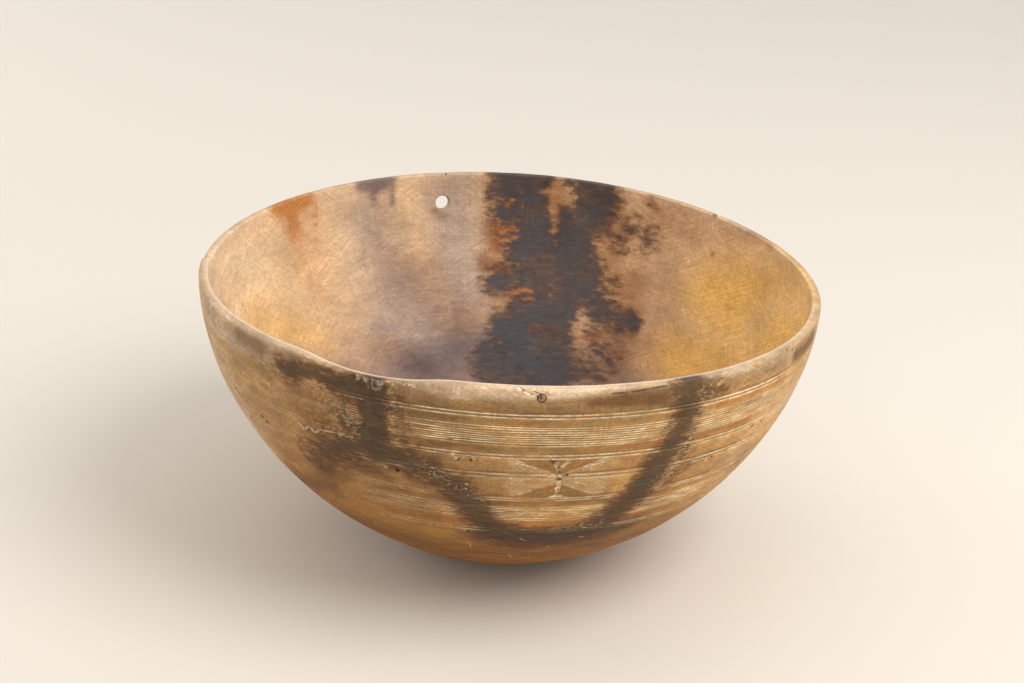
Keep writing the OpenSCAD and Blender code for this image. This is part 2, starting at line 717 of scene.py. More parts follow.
# The dark loop that hangs from the rim on the front, and the marks round it
OUTSIDE_STROKES = (
    *strokes(
        Stain.SOOT, Side.OUTSIDE,
        (0.92, 12, (-41, 12.5, 4), (-37.5, 13.5, 5.5), (-33, 11.5, 4.5), (-29, 12.5, 6),
         (-26, 13, 6)),
        (-1, 5, (-36.2, 18.5, 2.5), (-33, 17, 2.8)),
        (0.98, 9, (-22, 10, 7.5), (-21.8, 25, 8), (-22.4, 42, 9)),
        (0.88, 16, (-22.4, 42, 9), (-21.5, 52, 10)),
        (0.42, 18, (-27, 18, 8), (-28, 34, 9), (-27, 48, 8)),
        (0.36, 12, (-17, 14, 5), (-17, 30, 5), (-16, 46, 6)),
        (0.7, 24, (-24, 52, 10), (-29, 57, 11), (-34, 63, 9), (-37, 72, 7)),
        (0.8, 18, (-20, 54, 8), (-15, 58, 8), (-11, 65, 8), (-8, 72, 8)),
        (0.9, 14, (-8, 72, 8), (-5.8, 84, 8), (-4, 98, 7.5), (-1, 108, 8)),
        (0.8, 17, (0, 110, 8), (5, 115, 9), (11, 116, 9), (17, 112, 8.5), (21, 105, 8)),
        (0.88, 13, (21, 104, 9), (24, 94, 9), (26, 82, 9.5), (27.6, 68, 9), (28.4, 54, 9)),
        (0.8, 14, (28.4, 54, 8), (30.3, 44, 7.5), (31.6, 30, 8), (31.8, 12, 9), (31.5, -1, 8.5)),
        (0.75, 12, (35, 9, 5), (38.5, 9, 4)),
        (0.5, 14, (33.5, 48, 5), (34, 62, 6), (32, 76, 5)),
        (0.62, 9, (29.5, 4, 5), (34, 5, 5)),
    ),
    *strokes(
        Stain.SMOKE, Side.OUTSIDE,
        (0.85, 22, (-22, 6, 18), (-23, 40, 22)),
        (0.62, 26, (-38, 14, 12), (-38, 30, 18), (-33, 50, 22)),
        (0.8, 24, (-29, 60, 18), (-33, 80, 16), (-40, 100, 14), (-54, 116, 13), (-66, 128, 12)),
        (0.7, 18, (-17, 58, 20), (-10, 76, 18), (-5, 92, 17), (0, 108, 13)),
        (0.6, 24, (-12, 12, 14), (-11, 30, 16), (-14, 46, 18)),
        (0.6, 22, (-25, 90, 18), (-14, 94, 18)),
        (0.36, 40, (-42, 30, 30), (-24, 34, 34), (-6, 30, 26), (6, 20, 10)),
        (0.4, 34, (-36, 84, 30), (-16, 90, 30), (-2, 80, 20)),
        (0.5, 20, (-48, 22, 12), (-40, 30, 14)),
        (0.42, 9, (-56, 30, 7), (-30, 31, 9), (-10, 31, 7)),
        (0.9, 18, (-36, 84, 14), (-38, 98, 13)),
        (0.4, 16, (46, 42, 8), (52, 56, 9)),
        (0.75, 14, (-28, 68, 9), (-21, 74, 9)),
        (0.42, 26, (-46, 84, 16), (-30, 94, 18), (-18, 100, 14)),
        (0.6, 6, (-17, 7, 3.5), (-13, 8, 3.5)),
        (0.6, 6, (17, 6, 3.5), (27, 6, 4.5)),
        (0.5, 6, (6, 10, 2.5), (14, 9, 3)),
        (0.6, 20, (-70, 126, 12), (-52, 130, 14)),
        (0.5, 30, (-44, 136, 22), (-10, 140, 24), (20, 134, 24), (40, 130, 16)),
        (1, 18, (-2, 118, 16), (8, 123, 17), (20, 119, 16), (28, 113, 12)),
        (0.5, 12, (32, 0, 12), (32, 30, 12), (29, 60, 12), (27, 84, 12), (22, 104, 12)),
        (1, 7, (14, 9, 3.5), (20, 8.5, 6), (27, 9, 6)),
        (0.5, 5, (-26, 11, 5), (-12, 12, 3.5), (0, 12.5, 3), (12, 12, 3)),
        (0.7, 9, (-53, 6, 6), (-46, 8, 7)),
        (0.45, 6, (40, 8, 5), (48, 9, 4), (56, 8, 3)),
        (0.95, 7, (61, 9, 4.5), (66, 9, 5), (71, 8, 5)),
        (1, 2, (-9, 36.4, 1.4), (-5.6, 35, 1.6)),
    ),
    *strokes(
        Stain.ASH, Side.OUTSIDE,
        (0.85, 8, (-88, 10, 9), (-60, 10, 9), (-44, 8, 7)),
        # This pale grey stroke on the far left side is painted reflected light
        (0.6, 34, (-74, 40, 26), (-64, 50, 24), (-58, 70, 20)),
        (0.8, 4, (36, 1, 4), (42, 2, 3.5), (46, 2, 2)),
        (0.8, 4, (-16, 5, 3), (-13, 5, 3)),
    ),
    *strokes(
        Stain.CREAM, Side.OUTSIDE,
        (0.95, 4, (-12, 4, 4), (-8, 5, 4.4), (-3, 3, 4.2), (2, 2.4, 4.2), (8, 2.4, 4),
         (14, 1.5, 3)),
        (0.75, 3, (14, 2, 3), (22, 0, 1.6), (27, 0, 1)),
        (0.8, 3, (-24, 3, 1.6), (-21, 4, 2.2), (-18, 4, 1.8)),
        (0.8, 4, (-66, 0, 2), (-48, 1, 2.5), (-38, 0.5, 3), (-28, 1, 2.5)),
        # Pale wood with a painted highlight along the ridge that runs down to the plug
        (1, 1.5, (1.4, -2, 1.5), (3.2, 1, 1.7), (4.6, 3.4, 1.4)),
        (0.45, 36, (50, 70, 16), (54, 44, 16), (74, 40, 22)),
        # These two pale strokes on the far left side are paler wood with painted reflected light
        (1, 34, (-76, 72, 20), (-66, 90, 24), (-62, 106, 14)),
        (0.62, 44, (-78, 76, 22), (-100, 82, 26), (-128, 84, 20)),
    ),
    *strokes(
        Stain.RUST, Side.OUTSIDE,
        (0.7, 4, (-40, 23, 2.5), (-36, 28, 2.5), (-31, 24, 2.5)),
        (0.7, 4, (-36, 42, 3), (-28, 43, 3)),
        (0.5, 6, (21, 48, 3), (25, 52, 4)),
        (0.85, 2.5, (20, 39.8, 2), (27.5, 39.5, 2.4)),
        (0.85, 3, (36, 40, 2), (49, 39.5, 2)),
        (0.8, 3, (38, 21, 1.8), (57, 21, 1.6)),
        (0.8, 3, (4, 101.5, 2), (15, 101, 2.2)),
        (0.6, 3, (-24, 104, 1.5), (-6, 104, 1.8)),
        # Painted shadow on the right side of that ridge, in a rust brown
        (0.8, 1.6, (4.4, -1.5, 0.8), (6.2, 1.2, 1.1), (7.2, 3.2, 1.0)),
        (0.9, 2, (28.6, 82, 2), (29.6, 84.5, 2)),
        (0.6, 5, (-38, 72, 3), (-36, 78, 3)),
        (0.9, 1.5, (-21.3, 64.6, 1.4), (-20.3, 65.4, 1.4)),
        (0.8, 2, (-6.8, 47.8, 1.8), (-5.8, 48.4, 1.8)),
        (0.85, 24, (-72, 126, 13), (-50, 128, 15)),
        (0.8, 24, (48, 124, 13), (62, 116, 15)),
        (0.5, 10, (-1, 86, 5), (3, 92, 5)),
        (0.5, 10, (30, 86, 6), (42, 91, 6)),
    ),
    *strokes(
        Stain.AMBER, Side.OUTSIDE,
        (0.85, 30, (38, 26, 12), (52, 44, 26), (66, 50, 30), (80, 60, 30)),
        (0.75, 26, (38, 82, 12), (48, 96, 16), (54, 104, 12)),
        (0.7, 7, (19, 52, 5), (23, 60, 6), (22, 72, 5)),
        (0.4, 12, (-26, 84, 8), (-12, 92, 9)),
    ),
    *strokes(
        Stain.CRUMB, Side.OUTSIDE,
        (0.8, 8, (-33, 24, 6), (-28, 31, 7), (-25.5, 40, 6)),
        (0.7, 6, (-34, 44, 4), (-27, 47, 4)),
        (0.7, 6, (-18.6, 12, 3), (-18.4, 44, 3)),
        (0.85, 8, (35.4, 8, 5), (35, 30, 5), (33.4, 52, 7), (31, 76, 6)),
        (0.7, 7, (-14, 58, 5), (-6, 74, 4), (-3, 86, 3)),
        (0.8, 6, (13, 107, 4), (21, 106, 5)),
        (0.5, 6, (46, 3, 4), (56, 4, 4)),
    ),
)

# The dark run down the back of the hollow, and the clouds and drips to its left
INSIDE_STROKES = (
    *strokes(
        Stain.SOOT, Side.INSIDE,
        (1, 16, (163.5, 0, 18), (162.5, 12, 19), (165, 26, 17), (166, 40, 17), (166.5, 52, 18)),
        (0.95, 16, (166.5, 52, 18), (164.5, 68, 21), (167.5, 82, 16), (168, 100, 16),
         (168, 118, 20)),
        (0.84, 16, (181, 2, 15), (181.5, 14, 15), (181, 28, 13), (180, 42, 14), (178, 56, 13)),
        (1, 10, (175, 4, 11), (175.5, 20, 12), (174, 40, 13), (173, 60, 16)),
        (0.98, 16, (174, 60, 16), (174, 76, 17), (174, 92, 19), (174, 110, 20)),
        (0.9, 16, (184, 76, 8), (179, 77, 11), (174, 76, 10)),
        (1, 16, (180, 104, 13), (176, 106, 17), (170, 108, 18)),
        (1, 20, (184, 124, 14), (176, 124, 18), (168, 124, 20), (162, 124, 12)),
        (0.9, 24, (182, 148, 20), (168, 148, 20)),
        (0.66, 26, (177, 150, 18), (177, 158, 14), (177, 165, 9)),
        (0.68, 11, (160, 80, 12), (155, 86, 12), (150, 88, 10), (146.5, 88, 7)),
        (0.88, 7, (148.5, 85, 5), (145.5, 88, 5)),
        (0.42, 14, (158, 104, 10), (152, 108, 9), (147, 112, 7)),
        (0.5, 14, (158, 119, 9), (150, 121, 7)),
        (0.55, 16, (160, 64, 9), (156, 70, 8)),
        (0.6, 16, (153, 26, 6), (148, 30, 6), (149, 37, 5)),
        (0.5, 10, (149.5, 5, 3), (148.5, 9, 3)),
        (0.6, 16, (158, 34, 6), (154.5, 41, 5)),
        (-0.85, 6, (173.5, 11, 4), (169.8, 13, 7), (167.5, 17, 4)),
        (-0.6, 7, (171.8, 22, 3.5), (170.8, 36, 3), (170.4, 50, 2)),
        (-0.6, 5, (167, -2, 2), (167, 10, 2.5), (167.3, 28, 2.2)),
        (-0.7, 6, (184, 41, 5), (180, 41, 5)),
        (-0.6, 6, (184.5, 50, 5), (181, 51, 4)),
        (-0.6, 5, (184, 20, 3), (180.5, 21, 3)),
        (-0.7, 7, (190, 88, 5), (184, 89, 4), (182, 90, 3)),
        (-0.65, 8, (179, 82, 6), (174.5, 83, 5)),
        (-0.45, 7, (174, 102, 4), (169.5, 102, 4)),
        (-0.8, 6, (161, 101, 4), (158.5, 105, 5)),
        (-0.45, 5, (172.3, 66, 2), (170.4, 76, 2), (169, 88, 1.6)),
    ),
    *strokes(
        Stain.SMOKE, Side.INSIDE,
        (0.85, 9, (186, 64, 9), (181, 68, 8)),
        (0.62, 24, (159, 8, 12), (157, 30, 16), (156, 50, 14), (153, 70, 14)),
        (0.7, 30, (150, 62, 18), (148, 84, 16), (147, 108, 18)),
        (0.42, 34, (144, 20, 14), (142, 60, 18), (140, 100, 18)),
        (0.5, 40, (-152, 60, 24), (-160, 84, 26), (-166, 104, 24)),
        (0.22, 30, (-150, 14, 16), (-153, 50, 18)),
        (0.55, 30, (-144, 108, 14), (-152, 124, 16)),
        (0.6, 30, (181, 6, 16), (181, 40, 15), (180, 70, 15), (180, 110, 18)),
        (0.6, 6, (198, 27, 3), (196, 32, 3)),
        (0.8, 14, (185, 34, 7), (184, 56, 9)),
        (0.5, 16, (148, 16, 9), (138, 22, 8)),
        (0.75, 12, (172, 8, 11), (170, 26, 9), (170, 50, 8)),
        (0.5, 6, (122, -1, 4), (114, 0, 4)),
        (0.5, 26, (-100, 120, 14), (-116, 128, 12)),
        (0.4, 26, (100, 112, 16), (124, 118, 14)),
    ),
    *strokes(
        Stain.RUST, Side.INSIDE,
        (0.85, 6, (184, 40, 4), (179.5, 42, 4)),
        (0.7, 5, (183, 20, 3), (180.5, 21, 3)),
        (0.6, 6, (184.5, 50, 4), (181, 52, 4)),
        (0.6, 6, (184, 69, 4), (180, 69, 4)),
        (0.75, 7, (179, 83, 6), (173, 84, 5)),
        (0.7, 7, (174, 102, 5), (168, 104, 4)),
        (0.6, 8, (160, 104, 5), (154, 100, 5)),
        (0.25, 14, (157, 52, 7), (152, 70, 6)),
        (1, 9, (-121.5, 2, 6), (-126.5, 5, 10), (-131.5, 4, 6)),
        (0.85, 14, (-126, 10, 9), (-127, 24, 9)),
        (0.7, 6, (-133, 12, 3), (-133, 22, 3)),
        (0.36, 30, (-129, 10, 20), (-130, 60, 20)),
        (0.5, 20, (-127, 30, 10), (-128.5, 58, 9)),
        (0.45, 10, (128.5, 14, 5), (127, 24, 4)),
        (0.34, 20, (152, 6, 10), (138, 10, 14), (122, 6, 12)),
        (0.5, 6, (122.5, 52, 3), (121.5, 56, 3)),
        (1, 3, (131.5, 26, 1.5), (131.5, 28, 1.8)),
    ),
    *strokes(
        Stain.PLUM, Side.INSIDE,
        (0.95, 7, (-145.5, 2, 6), (-148.5, 3.5, 7), (-152, 2, 6)),
        (0.8, 5, (-148, 8, 3), (-148, 17, 2.6)),
        (0.7, 5, (-152.5, 5, 3), (-152.5, 18, 2.6)),
        (0.9, 26, (-146, 124, 12), (-158, 122, 18), (-172, 114, 16)),
        (0.4, 26, (-160, 96, 12), (-172, 92, 12)),
    ),
    *strokes(
        Stain.AMBER, Side.INSIDE,
        (0.5, 36, (-106, 70, 18), (-116, 82, 18), (-122, 92, 14)),
        (0.75, 30, (-98, 96, 22), (-112, 112, 20)),
        (0.55, 44, (-94, 100, 22), (-64, 108, 24), (-34, 104, 20)),
        (0.85, 40, (92, 24, 36), (112, 46, 40), (128, 50, 26)),
        (0.6, 50, (88, 60, 36), (60, 76, 34), (28, 86, 24)),
        (0.8, 40, (98, 84, 34), (118, 94, 34), (130, 94, 20)),
    ),
    *strokes(
        Stain.CREAM, Side.INSIDE,
        (0.6, 44, (-88, 12, 26), (-104, 20, 26), (-114, 34, 18)),
        (0.45, 44, (92, 12, 20), (106, 30, 18), (112, 60, 14)),
        (0.36, 40, (-118, 62, 14), (-134, 66, 18), (-146, 62, 12)),
    ),
    *strokes(
        Stain.ASH, Side.INSIDE,
        (0.8, 40, (-146, 30, 20), (-150, 70, 26), (-154, 104, 28)),
        (0.8, 30, (-166, 22, 22), (-167, 54, 22), (-168, 80, 20)),
        (0.85, 18, (-143, 96, 10), (-151, 102, 14)),
    ),
    *strokes(
        Stain.CRUMB, Side.INSIDE,
        (0.6, 5, (178, 30, 3), (175.5, 34, 3)),
        (0.6, 4, (178.5, 58, 3), (176, 61, 2)),
        (0.5, 4, (164, 27, 3), (162, 28, 2)),
    ),
)


@dataclass
class BowlShell:
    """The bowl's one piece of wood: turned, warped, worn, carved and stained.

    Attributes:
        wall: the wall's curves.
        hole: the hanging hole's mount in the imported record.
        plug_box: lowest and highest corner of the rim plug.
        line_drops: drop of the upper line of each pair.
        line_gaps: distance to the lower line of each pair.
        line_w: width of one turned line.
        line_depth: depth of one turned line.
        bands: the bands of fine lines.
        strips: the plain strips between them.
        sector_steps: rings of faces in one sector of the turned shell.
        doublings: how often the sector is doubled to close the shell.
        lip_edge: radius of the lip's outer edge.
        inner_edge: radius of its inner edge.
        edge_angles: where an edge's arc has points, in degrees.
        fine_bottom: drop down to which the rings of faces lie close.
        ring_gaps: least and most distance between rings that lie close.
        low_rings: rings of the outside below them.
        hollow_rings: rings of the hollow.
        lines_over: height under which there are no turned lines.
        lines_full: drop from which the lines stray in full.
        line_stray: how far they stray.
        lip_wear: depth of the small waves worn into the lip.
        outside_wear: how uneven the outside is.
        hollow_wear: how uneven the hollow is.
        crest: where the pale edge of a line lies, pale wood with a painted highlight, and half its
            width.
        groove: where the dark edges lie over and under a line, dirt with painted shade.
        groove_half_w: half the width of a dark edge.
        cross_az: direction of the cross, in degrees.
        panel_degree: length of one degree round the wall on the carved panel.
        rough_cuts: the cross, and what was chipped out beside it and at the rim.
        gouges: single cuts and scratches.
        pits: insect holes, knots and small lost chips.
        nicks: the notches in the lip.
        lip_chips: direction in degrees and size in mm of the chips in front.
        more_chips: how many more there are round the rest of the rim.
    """

    wall: Wall
    hole: dict
    plug_box: tuple[Vector, Vector]
    line_drops: tuple[float, ...] = (16 * MM, 43.5 * MM, 57.5 * MM, 76.6 * MM, 106 * MM)
    line_gaps: tuple[float, ...] = (2.2 * MM, 2.2 * MM, 2.7 * MM, 2.0 * MM, 2.4 * MM)
    line_w: float = 1.7 * MM
    line_depth: float = 0.6 * MM
    bands: tuple[FineBand, ...] = (FineBand(24 * MM, 37.5 * MM), FineBand(84 * MM, 97.5 * MM))
    strips: tuple[Strip, ...] = (
        Strip(20 * MM, 23.6 * MM), Strip(38 * MM, 42 * MM), Strip(79.9 * MM, 83.6 * MM),
        Strip(98 * MM, 104 * MM),
    )
    sector_steps: int = 27
    doublings: int = 4
    lip_edge: float = 2.4 * MM
    inner_edge: float = 0.9 * MM
    edge_angles: tuple[float, ...] = (25, 50, 75)
    fine_bottom: float = 116 * MM
    ring_gaps: tuple[float, float] = (0.3 * MM, 2.2 * MM)
    low_rings: int = 30
    hollow_rings: int = 54
    lines_over: float = 40 * MM
    lines_full: float = 12 * MM
    line_stray: float = 0.3 * MM
    lip_wear: float = 0.12 * MM
    outside_wear: float = 0.16 * MM
    hollow_wear: float = 0.25 * MM
    crest: tuple[float, float] = (0.42 * MM, 0.4 * MM)
    groove: tuple[float, float] = (-0.95 * MM, 1.3 * MM)
    groove_half_w: float = 0.6 * MM
    cross_az: float = 10
    panel_degree: float = 3.27 * MM
    rough_cuts: tuple[RoughCut, ...] = (
        RoughCut(((8.0, 44.8, 1.8), (8.8, 48.5, 2.3), (9.6, 52.2, 2.1)), 0.9, 0.9, 0.1),
        RoughCut(((11.7, 45.8, 1.6), (11.0, 49, 2.0), (10.4, 52.2, 1.9)), 0.9, 0.9, 0.12),
        RoughCut(((9.8, 53, 1.7), (9.9, 56, 1.6)), 1.8, 0.5, 0.4),
        RoughCut(((8.2, 58.8, 2.1), (9.6, 59.6, 2.5), (10.8, 58.8, 2.2)), 1.0, 0.8, 0.25),
        RoughCut(((10.1, 61.6, 2.1), (10.4, 66, 2.1), (10.2, 74, 2.3)), 1.1, 0.9, 0.2),
        RoughCut(((8.7, 77.2, 1.4), (10.3, 75.6, 2.0), (12.2, 77.2, 1.4)), 0.9, 1.0, 0.03),
        RoughCut(((-25.2, 5.8, 2.2), (-21.8, 6.4, 3.0), (-18, 5.4, 2.4)), 1.2, 0.36, 0.3),
        RoughCut(((-24.6, 9.8, 1.5), (-21.4, 10.4, 1.9), (-18.6, 9.2, 1.5)), 1.0, 0.26, 0.4),
        RoughCut(((-16.2, 4.2, 1.4), (-14.2, 4.6, 1.2)), 0.8, 0.8, 0.3),
        RoughCut(((39.4, 60.2, 1.5), (41.2, 63.8, 1.6)), 1.5, 0.9, 0.3),
        RoughCut(((-8.2, 46.2, 1.2), (-7.4, 49.6, 1.4)), 1.0, 0.85, 0.15),
        RoughCut(((-4.9, 46, 1.2), (-4.3, 49, 1.2)), 1.0, 0.7, 0.3),
    )
    gouges: tuple[Gouge, ...] = (
        Gouge((-38.8, 48.4), (-37.2, 54), 1.0, 0.8, fresh=0.6),
        Gouge((-37.4, 53.6), (-36.1, 48.8), 1.0, 0.8, fresh=0.5),
        Gouge((-36.2, 48.8), (-34.7, 53), 1.0, 0.8, fresh=0.6),
        Gouge((-34.8, 52.8), (-33.4, 48.8), 0.9, 0.7, fresh=0.5),
        Gouge((-33.6, 49), (-30, 47.4), 0.9, 0.6, fresh=0.5),
        Gouge((-30.4, 47.3), (-26, 48), 0.7, 0.6, fresh=0.4),
        # These three cuts make the ridge by the plug: two show pale wood, the third darkens its
        # right side with dirt and painted shade
        Gouge((0.9, -2.4), (3.6, 2.4), 1.1, 2.3, fresh=1.0),
        Gouge((2.4, 0.4), (5.5, 4.8), 1.2, 1.3, fresh=1.0),
        Gouge((4.3, 1.2), (6.3, 3.4), 0.5, 1.2, fresh=0.1, dirt=0.35),
        Gouge((8.4, 0.5), (14.5, 7.2), 0.5, 0.35, fresh=0.7),
        Gouge((13.4, 53), (18.4, 48.8), 0.7, 0.4, fresh=0.8),
        Gouge((12.6, 54.8), (16, 52.6), 0.5, 0.35, fresh=0.6),
        Gouge((12.4, 63.8), (16.4, 67.4), 0.5, 0.35, fresh=0.6),
        Gouge((0.6, 47.4), (7.8, 55), 0.6, 0.35, fresh=0.65),
        Gouge((4.2, 70.6), (8.4, 65), 0.5, 0.35, fresh=0.5),
        Gouge((17, 3.6), (20.8, 4.2), 0.9, 1.2, fresh=0.1, dirt=0.8),
        Gouge((20.4, 4.0), (24.4, 2.4), 0.9, 1.3, fresh=0.1, dirt=0.8),
        Gouge((24, 2.6), (27.6, 1.8), 0.8, 1.3, fresh=0.1, dirt=0.7),
        Gouge((-6.8, 117), (-6.6, 145), 0.5, 0.25, fresh=0.4),
        Gouge((-7.5, 116), (-7.2, 138), 0.4, 0.2, fresh=0.3),
        Gouge((2.4, 139), (4.2, 149), 0.5, 0.25, fresh=0.4),
        Gouge((-31, 75.2), (-29.4, 74.6), 0.5, 0.8, fresh=0.0, dirt=0.9),
        Gouge((16.4, 105.6), (19, 109), 1.0, 0.5, fresh=0.5),
        Gouge((4.4, 118), (6.4, 121.4), 0.8, 0.5, fresh=0.4),
        Gouge((18.2, 118.4), (19.8, 119.8), 0.7, 0.5, fresh=0.4),
        Gouge((20.8, 100.6), (22, 102.4), 0.7, 0.5, fresh=0.5),
        Gouge((-23.6, 0.5), (-23.2, 6), 0.5, 1.2, fresh=0.1, dirt=0.8),
        Gouge((-20.8, 1.5), (-20.4, 7), 0.5, 1.2, fresh=0.1, dirt=0.8),
        Gouge((-17.9, 1.5), (-18.3, 6), 0.4, 1.0, fresh=0.1, dirt=0.8),
    )
    pits: tuple[Pit, ...] = (
        Pit(11.4, 58.2, 1.5, 2.2, dirt=0.4), Pit(-59, 51, 1.3, 3), Pit(-58.0, 52.6, 0.9, 2),
        Pit(-50.6, 60, 1.5, 3), Pit(-49.2, 62.3, 1.2, 2.5), Pit(-57, 69.5, 1.2, 2.5),
        Pit(-56.2, 71.2, 0.8, 2), Pit(-20.8, 65, 1.7, 0.9, fresh=0.34, dirt=0.1),
        Pit(-18.6, 65.4, 1.3, 2.4), Pit(-6.2, 47.6, 1.5, 1.0, fresh=0.42, dirt=0.1),
        Pit(-5.2, 49.4, 0.9, 1.6), Pit(51, 47.5, 1.0, 2), Pit(54, 47, 0.9, 2), Pit(55, 72, 1.0, 2),
        Pit(57, 1.4, 0.8, 1.2), Pit(59, 3.2, 0.9, 1.4), Pit(41.7, 61.6, 0.8, 2.0),
        Pit(-6.4, 112.8, 1.3, 1.4, fresh=0.2, dirt=0.5),
        Pit(-7.3, 112.2, 0.8, 0.6, fresh=1.0, dirt=0.0),
        Pit(-12.4, 61.5, 1.0, 0.5, fresh=0.5, dirt=0.0),
        Pit(-12.6, 64.5, 0.7, 0.4, fresh=0.9, dirt=0.0),
        Pit(-6, 68.5, 0.9, 0.5, fresh=0.5, dirt=0.0),
        Pit(-6.1, 72.5, 0.8, 0.5, fresh=0.5, dirt=0.0),
        Pit(-11.9, 58.5, 0.7, 0.4, fresh=0.8, dirt=0.0),
        Pit(12.1, 129.6, 1.1, 0.6, fresh=0.5, dirt=0.1),
    )
    nicks: tuple[Nick, ...] = (
        Nick(133, 2.6, 3.0, 0.5), Nick(-89.4, 1.6, 4.2, 0.5), Nick(-164.8, 1.6, 1.2, 0.2),
    )
    lip_chips: tuple[tuple[float, float], ...] = (
        (-24.6, 1.8), (-22.2, 1.5), (-19.4, 1.7), (-16.9, 1.3), (-9, 1.0), (29, 1.2), (45, 1.1),
    )
    more_chips: int = 16

    def lines(self) -> list[float]:
        """Drops of all the single turned lines."""
        pairs = zip(self.line_drops, self.line_gaps)
        return [top + shift for top, gap in pairs for shift in (0, gap)]

    def outer_drops(self) -> list[float]:
        """Drops of the rings down the outside, close together where it is carved.

        Returns:
            The drops, from the lip's edge to the foot's edge.
        """
        marks = {self.lip_edge, self.fine_bottom}
        for line in self.lines():
            marks |= {line + self.line_w * share for share in (-0.5, -0.25, 0, 0.25, 0.5)}
        for band in self.bands:
            count = round((band.bottom - band.top) / band.pitch) * 2
            marks |= {band.top + i * band.pitch / 2 for i in range(count + 1)}
        for strip in self.strips:
            marks |= {strip.top, strip.bottom}
        drops = [min(marks)]
        least, most = self.ring_gaps
        for mark in sorted(marks)[1:]:
            start = drops[-1]
            if mark - start < least:
                continue
            count = math.ceil((mark - start) / most)
            drops += [start + (mark - start) * i / count for i in range(1, count + 1)]
        fine_z = self.wall.rim_h - self.fine_bottom
        smooth = self.wall.heights(Side.OUTSIDE, fine_z, 0, self.low_rings)
        return drops + [self.wall.rim_h - z for z in smooth[1:]]

    @staticmethod
    def edge_points(edge: float, angles: tuple[float, ...]) -> list[tuple[float, float]]:
        """How far the points of a rounded edge lie in from its side and down from its top."""
        turns = [math.radians(angle) for angle in angles]
        return [(edge * (1 - math.cos(turn)), edge * (1 - math.sin(turn))) for turn in turns]

    def half_section(self) -> list[tuple[float, float]]:
        """Works out half the wall's outline.

        Returns:
            Its radii and heights, from the foot's middle to the hollow's.
        """
        wall = self.wall
        foot = [(wall.foot_r * share, 0.0) for share in (0, 0.35, 0.7, 0.93)]
        heights = [wall.rim_h - drop for drop in reversed(self.outer_drops())]
        outside = [(float(wall.radius(Side.OUTSIDE, z)), max(z, 0.0)) for z in heights]
        lip = [
            (wall.rim_r - aside, wall.rim_h - down)
            for aside, down in self.edge_points(self.lip_edge, self.edge_angles)
        ]
        middle = wall.rim_r - wall.lip_t / 2
        lip += [(middle, wall.rim_h - 0.1 * MM), (middle - 1.4 * MM, wall.rim_h)]
        lip += [
            (wall.rim_r - wall.lip_t + aside, wall.rim_h - down)
            for aside, down in self.edge_points(self.inner_edge, (*self.edge_angles[::-1], 0))
        ]
        low = wall.heights(Side.INSIDE, wall.shoulder_h - 2 * MM, wall.floor_t, self.hollow_rings)
        hollow = [(float(wall.radius(Side.INSIDE, z)), z) for z in low]
        return foot + outside + lip + hollow[:-1] + [(0.0, wall.floor_t)]

    def turn_blank(self) -> BMesh:
        """Turns one sector of the wall and doubles it round until it closes.

        Returns:
            The closed shell, with its faces outwards.
        """
        shell = bmesh.new()
        section = [shell.verts.new((0, -r, z)) for r, z in self.half_section()]
        chain = section + [shell.edges.new(pair) for pair in zip(section, section[1:])]
        sector = 2 * math.pi / 2**self.doublings
        bmesh.ops.spin(shell, geom=chain, angle=sector, steps=self.sector_steps, **AXIS)
        for doubling in range(self.doublings):
            whole = shell.verts[:] + shell.edges[:] + shell.faces[:]
            copy = bmesh.ops.duplicate(shell, geom=whole)["geom"]
            copied = [part for part in copy if isinstance(part, BMVert)]
            turn = Matrix.Rotation(sector * 2**doubling, 3, "Z")
            bmesh.ops.rotate(shell, verts=copied, cent=(0, 0, 0), matrix=turn)
        bmesh.ops.remove_doubles(shell, verts=shell.verts[:], dist=0.02 * MM)
        bmesh.ops.recalc_face_normals(shell, faces=shell.faces[:])
        return shell

    def relief(self, turn: Array, drop: Array) -> Array:
        """How deep the outside is cut.

        Args:
            turn: directions in radians.
            drop: turned drops.

        Returns:
            The depths.
        """
        depth = np.zeros_like(drop)
        for line in self.lines():
            near = 1 - rise(np.abs(drop - line), 0, self.line_w / 2)
            depth = np.maximum(depth, self.line_depth * np.sin(near * math.pi / 2) ** 2)
        for strip in self.strips:
            within = np.minimum(drop - strip.top, strip.bottom - drop)
            depth += strip.depth * rise(within, 0, MM)
        for band in self.bands:
            within = (drop > band.top) & (drop < band.bottom)
            ridges = 0.5 - 0.5 * np.cos(2 * math.pi * (drop - band.top) / band.pitch)
            depth += within * band.depth * ridges
        depth *= self.crispness(turn, drop)
        peeled = between(az_of(turn), 15, 30, 4, 4)
        depth += 0.5 * MM * peeled * between(drop, 2.2 * MM, 14 * MM, 0.8 * MM, 14 * MM)
        return depth + self.outside_wear * (1 + Swell(5, 18, 45 * MM)(turn, drop))

    def waver(self, turn: Array, drop: Array, lined: Array) -> Array:
        """How far down the turned lines stray, as they were cut freehand."""
        stray = self.line_stray * Swell(23, 9, 11 * MM)(turn, drop)
        return stray * lined * rise(drop, 0, self.lines_full)

    def crispness(self, turn: Array, drop: Array) -> Array:
        """How crisp the turned work still is.

        Args:
            turn: directions in radians.
            drop: turned drops.

        Returns:
            The shares, down to 0 where dirt and wear have filled it.
        """
        az = az_of(turn)
        wear = np.clip(0.74 + 0.35 * Swell(3, 26, 30 * MM)(turn, drop), 0.3, 1)
        filled = between(az, -120, -22, 25, 12)
        handled = between(az, 46, 110, 16, 25)
        rubbed = between(az, -120, -3, 25, 9) * rise(drop, 64 * MM, 8 * MM)
        return wear * (1 - 0.85 * filled) * (1 - 0.8 * handled) * (1 - 0.7 * rubbed)

